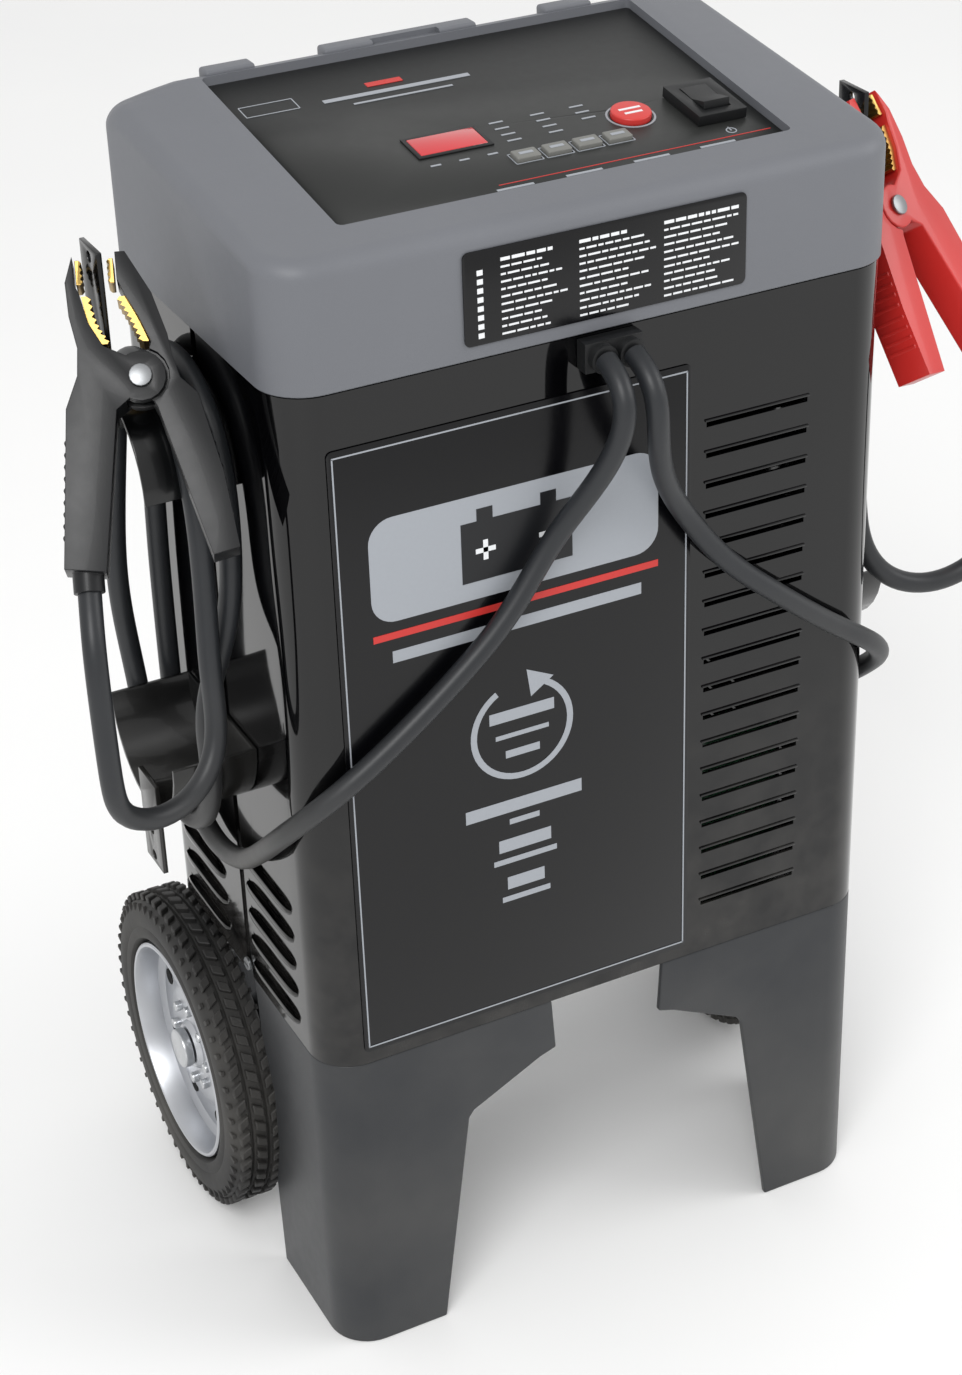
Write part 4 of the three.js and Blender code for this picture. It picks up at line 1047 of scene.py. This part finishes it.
random.seed(11)
fine = []
for left, right in ((-50, -18), (-12, 26), (30, 68)):
    for row in range(11):
        start, z = left, 582 - row * 3.4
        end = left + (right - left) * random.uniform(0.6, 1.0)
        while start < end - 2:
            length = min(random.uniform(2.0, 6.5), end - start)
            fine.append(flat_mark(start + length / 2, z, length, 0.9 if row else 1.5, PLATE_FACE))
            start += length + 0.9
fine += [flat_mark(-60, 578 - row * 4.1, 2.8, 2.4, PLATE_FACE) for row in range(8)]
piece("instruction_bars", merge(*fine), "ink_white")
print("front plates printed")

# %% [markdown]
# ## Legs, brackets and glands
# Two moulded legs carry the front, two brackets hold the axle, and four steel hooks hold the wound leads. Their
# CAD shape is right as it is, so only their edges are rounded: an edge without a radius catches no light.

# %% Round the legs and fittings
for side, sign in SIDES:
    refined("leg_" + side, 1.4, "leg", segments=3)
    refined("axle_bracket_" + side, 0.6, "hook")
    refined("hook_upper_" + side, 0.5, "hook")
    refined("hook_lower_" + side, 0.5, "hook")
    refined("axle_cap_" + side, 1.2, "zinc", segments=3)
refined("lead_gland", 1.0, "black")
refined("mains_gland", 0.8, "black")
refined("fan_guard", 0.4, "zinc")
print("legs and fittings rounded")

# %% [markdown]
# ## Wheels
# The tyre is a turned carcass. Its tread blocks repeat round it, so a Geometry Nodes tree places one block
# many times about the axle. A loop could do the same, but the tree's inputs can be changed in the viewport.


# %% Build the ring of copies
def ring_tree():
    """Copies of one object turned about the x axis, evenly spaced."""
    tree = bpy.data.node_groups.new("ring_of_copies", "GeometryNodeTree")
    face = tree.interface
    face.new_socket("Geometry", in_out="OUTPUT", socket_type="NodeSocketGeometry")
    face.new_socket("Geometry", in_out="INPUT", socket_type="NodeSocketGeometry")
    ids = {}
    for name, kind in (("Copy", "Object"), ("Count", "Int"), ("Start", "Float"), ("Finish", "Material")):
        ids[name] = face.new_socket(name, in_out="INPUT", socket_type="NodeSocket" + kind).identifier
    new = tree.nodes.new
    given, made = new("NodeGroupInput"), new("NodeGroupOutput")
    points, info = new("GeometryNodePoints"), new("GeometryNodeObjectInfo")
    place = new("GeometryNodeInstanceOnPoints")
    index, step_size, angle, shifted = (
        new("GeometryNodeInputIndex"),
        new("ShaderNodeMath"),
        new("ShaderNodeMath"),
        new("ShaderNodeMath"),
    )
    spin, real = new("ShaderNodeCombineXYZ"), new("GeometryNodeRealizeInstances")
    paint = new("GeometryNodeSetMaterial")
    step_size.operation, angle.operation, shifted.operation = "DIVIDE", "MULTIPLY", "ADD"
    step_size.inputs[0].default_value = 2 * math.pi
    for source, target in (
        (given.outputs["Count"], points.inputs["Count"]),
        (given.outputs["Count"], step_size.inputs[1]),
        (index.outputs[0], angle.inputs[0]),
        (step_size.outputs[0], angle.inputs[1]),
        (angle.outputs[0], shifted.inputs[0]),
        (given.outputs["Start"], shifted.inputs[1]),
        (shifted.outputs[0], spin.inputs[0]),
        (spin.outputs[0], place.inputs["Rotation"]),
        (given.outputs["Copy"], info.inputs["Object"]),
        (info.outputs["Geometry"], place.inputs["Instance"]),
        (points.outputs[0], place.inputs["Points"]),
        (place.outputs[0], real.inputs[0]),
        (real.outputs[0], paint.inputs["Geometry"]),
        (given.outputs["Finish"], paint.inputs["Material"]),
        (paint.outputs[0], made.inputs[0]),
    ):
        tree.links.new(source, target)
    return tree, ids


RING_TREE, RING_IDS = ring_tree()


def ring_of(bm, count, material, start=0.0):
    """One small bmesh, drawn about the x axis, repeated round it."""
    copy = to_object("copy", bm)
    holder = to_object("holder", bmesh.new())
    modifier = holder.modifiers.new("ring", "NODES")
    modifier.node_group = RING_TREE
    given = {"Copy": copy, "Count": count, "Start": start, "Finish": finishes[material]}
    for name, value in given.items():
        modifier[RING_IDS[name]] = value
    plain_mesh(holder)
    found = bmesh.new()
    found.from_mesh(holder.data)
    for made in (holder, copy):
        bpy.data.objects.remove(made)
    for polygon in found.faces:
        polygon.material_index = 0
    return found


print("ring tree has", len(RING_TREE.nodes), "nodes")

# %% [markdown]
# ## Tyres and rims
# Each wheel is a rubber tyre on a pressed metal dish. Both are profiles turned about the axle. The tread has
# three rows of leaning blocks, and short flutes run up both walls; the dish has a ring of bolts and a ring of
# holes, which are not cut but drawn as near-black discs of painted shade. All five rings come from the one tree.

# %% Turn the tyres and rims
WHEEL_Y, WHEEL_Z, WHEEL_OUT = 69.8, 89.0, 177.0
TREADS, BOLTS = 56, 8
BOLT_CIRCLE, HOLE_CIRCLE = 22.5, 45
CARCASS = [
    (62.2, -11.5), (64, -14.4), (68, -15), (70, -14.2), (72, -14.9), (79, -14.6), (83, -12.6), (85.6, -9.5),
    (85.8, -5.4), (84.2, -4.9), (84.2, -4.1), (85.8, -3.6), (85.8, 3.6), (84.2, 4.1), (84.2, 4.9), (85.8, 5.4),
    (85.6, 9.5), (83, 12.6), (79, 14.6), (72, 14.9), (70, 14.2), (68, 15), (64, 14.4), (62.2, 11.5),
]
RIM = [
    (6.3, 151), (13, 151), (13, 161.5), (29, 161.6), (33, 160.5), (36.5, 158), (54, 157.6), (55.6, 156),
    (55.6, 148.4), (60.8, 148.4), (60.8, 175.2), (60, 176), (58.6, 175.8), (57.6, 173.5), (56.6, 163),
    (52, 160.6), (38, 161), (34.5, 163), (31, 164.6), (14, 165), (13, 166.5), (12.2, 167.8), (6.3, 167.8),
]
for side, sign in SIDES:
    place = Matrix.Translation((sign * (WHEEL_OUT - 15), WHEEL_Y, WHEEL_Z))
    carcass = turn(CARCASS, "x", (0, 0), 96)
    treads = []
    for low, high, lean, start in ((-11.6, -6.2, 1.6, 0.0), (-2.8, 2.8, -1.6, 0.5), (6.2, 11.6, 1.6, 0.0)):
        shape = [(low, -2.7 - lean), (high, -2.7 + lean), (high, 2.7 + lean), (low, 2.7 - lean)]
        lug = bevel(extrude(shape, "z", 84.6, 88.6), 0.5, 1)
        treads.append(ring_of(lug, TREADS, "tyre", start * 2 * math.pi / TREADS))
    flutes = []
    for x in (-13.6, 13.6):
        flute = bevel(block((x - 1.0, -1.3, 75), (x + 1.0, 1.3, 83.6)), 0.3, 1)
        flutes.append(ring_of(flute, TREADS, "tyre"))
    whole = move(merge(carcass, *treads, *flutes), place)
    piece("tyre_tread_" + side, whole, "tyre", "wheel_" + side, ["tyre_" + side])
    rim = turn([(r, x * sign) for r, x in RIM], "x", (WHEEL_Y, WHEEL_Z), 96)
    piece("rim_dish_" + side, rim, "alloy", "wheel_" + side, ["wheel_rim_" + side], 24)
    bolt_x = sorted((sign * 163.8, sign * 168.2))
    hub = Matrix.Translation((0, WHEEL_Y, WHEEL_Z))
    bolts = ring_of(bevel(rod("x", 3.1, *bolt_x, (0, BOLT_CIRCLE), 6), 0.3, 1), BOLTS, "zinc")
    piece("rim_bolts_" + side, move(bolts, hub), "zinc", "wheel_" + side)
    # The holes are painted shade: thin near-black discs laid on the dish, not openings
    hole_x = sorted((sign * 160.9, sign * 161.3))
    holes = ring_of(rod("x", 4.6, *hole_x, (0, HOLE_CIRCLE), 24), BOLTS, "dark", math.pi / BOLTS)
    piece("rim_holes_" + side, move(holes, hub), "dark", "wheel_" + side)
print("wheels turned")

# %% [markdown]
# ## Clamps
# Each clamp is two moulded halves on a pin, with a coil spring between the cheeks. Toothed brass strips line
# the jaws, and finger ribs run down the handles. Each part is drawn upright in the clamp's own frame and then
# turned to where the clamp hangs. The inner half and all on it ride on the moving jaw.


# %% Fit the clamps
def on_clamp(bm, sign):
    move(bm, clamp_frame(sign))
    bmesh.ops.recalc_face_normals(bm, faces=bm.faces)
    return bm


def toothed_strip(edge, out, half=7.6, depth=2.2, tooth=1.6):
    """A strip along an edge of (across, down) points, its teeth standing out towards out."""
    path = smooth_path([(a, 0, -d) for a, d in edge], 0.125)
    crown = []
    for i, p in enumerate(path):
        reach = depth + (tooth if i % 2 else 0)
        crown.append((p.x + out * reach, p.z))
    root = [(p.x, p.z) for p in reversed(path)]
    return extrude(crown + root, "y", -half, half)


def finger_ribs(start, end, count, width, half=10.0):
    """Low ribs across the outer edge of a handle, between two (across, down) points."""
    ribs = []
    for i in range(count):
        t = (i + 0.5) / count
        across, down = (start[k] + (end[k] - start[k]) * t for k in (0, 1))
        ribs.append(rod("y", width, -half + 1.5, half - 1.5, (across, -down), 12))
    return merge(*ribs)


for side, sign in SIDES:
    grip_finish = "grip_black" if side == "left" else "grip_red"
    jaw = "clamp_jaw_" + side
    made = [
        refined("clamp_outer_" + side, 1.8, grip_finish, segments=3),
        refined("clamp_inner_" + side, 1.8, grip_finish, jaw, 3),
        refined("clamp_plate_outer_" + side, 0.25, "brass", segments=1),
        refined("clamp_plate_inner_" + side, 0.25, "brass", jaw, 1),
        refined("clamp_pin_" + side, 0.5, "steel"),
    ]
    outer = toothed_strip([(-5.7, 15), (-3.3, 27), (1.6, 36.5)], 1)
    inner = toothed_strip([(12.8, 16), (17.6, 26), (21.6, 36.5)], -1)
    made.append(piece("jaw_teeth_outer_" + side, on_clamp(outer, sign), "brass"))
    made.append(piece("jaw_teeth_inner_" + side, on_clamp(inner, sign), "brass", jaw))
    turns = [k / 14 * 2 * math.pi for k in range(14 * 4 + 1)]
    wire = [
        Vector((16.8 + 5.9 * math.cos(t), -3.3 + 6.6 * t / turns[-1], -52 + 5.9 * math.sin(t))) for t in turns
    ]
    coil = on_clamp(sweep(wire, 0.75, 8), sign)
    made.append(piece("coil_spring_" + side, coil, "steel", replaces=["clamp_spring_" + side]))
    ribs = finger_ribs((-16.2, 76), (-20.4, 122), 9, 1.5)
    made.append(piece("finger_ribs_outer_" + side, on_clamp(ribs, sign), grip_finish))
    ribs = merge(finger_ribs((43.0, 76), (47.5, 96), 4, 1.5), finger_ribs((47.5, 97), (50.0, 117), 4, 1.5))
    made.append(piece("finger_ribs_inner_" + side, on_clamp(ribs, sign), grip_finish, jaw))

# %% [markdown]
# ## The leads' lengths
# Each lead is a free cord from its gland to its clamp. Its length is measured along its own points. Here each
# lead's curve, first point and length are unpacked again, and nothing more is done with them.

for side, sign in SIDES:
    lead_object, leaves, length = leads[side]

# %% [markdown]
# ## What stays from the CAD
# The tray, axle, transformer, board, heat sink and fan are mostly hidden by the housing. They keep their CAD
# shapes and get their finishes.

# %% Finish the inner parts
KEPT = {
    "base_tray": "steel",
    "axle": "zinc",
    "transformer_core": "steel",
    "transformer_winding": "copper",
    "circuit_board": "board",
    "heat_sink": "alloy",
    "fan_frame": "black",
    "fan_rotor": "black",
}
for node, key in KEPT.items():
    bpy.data.objects[node].material_slots[0].material = finishes[key]
print(len(KEPT), "inner parts finished")
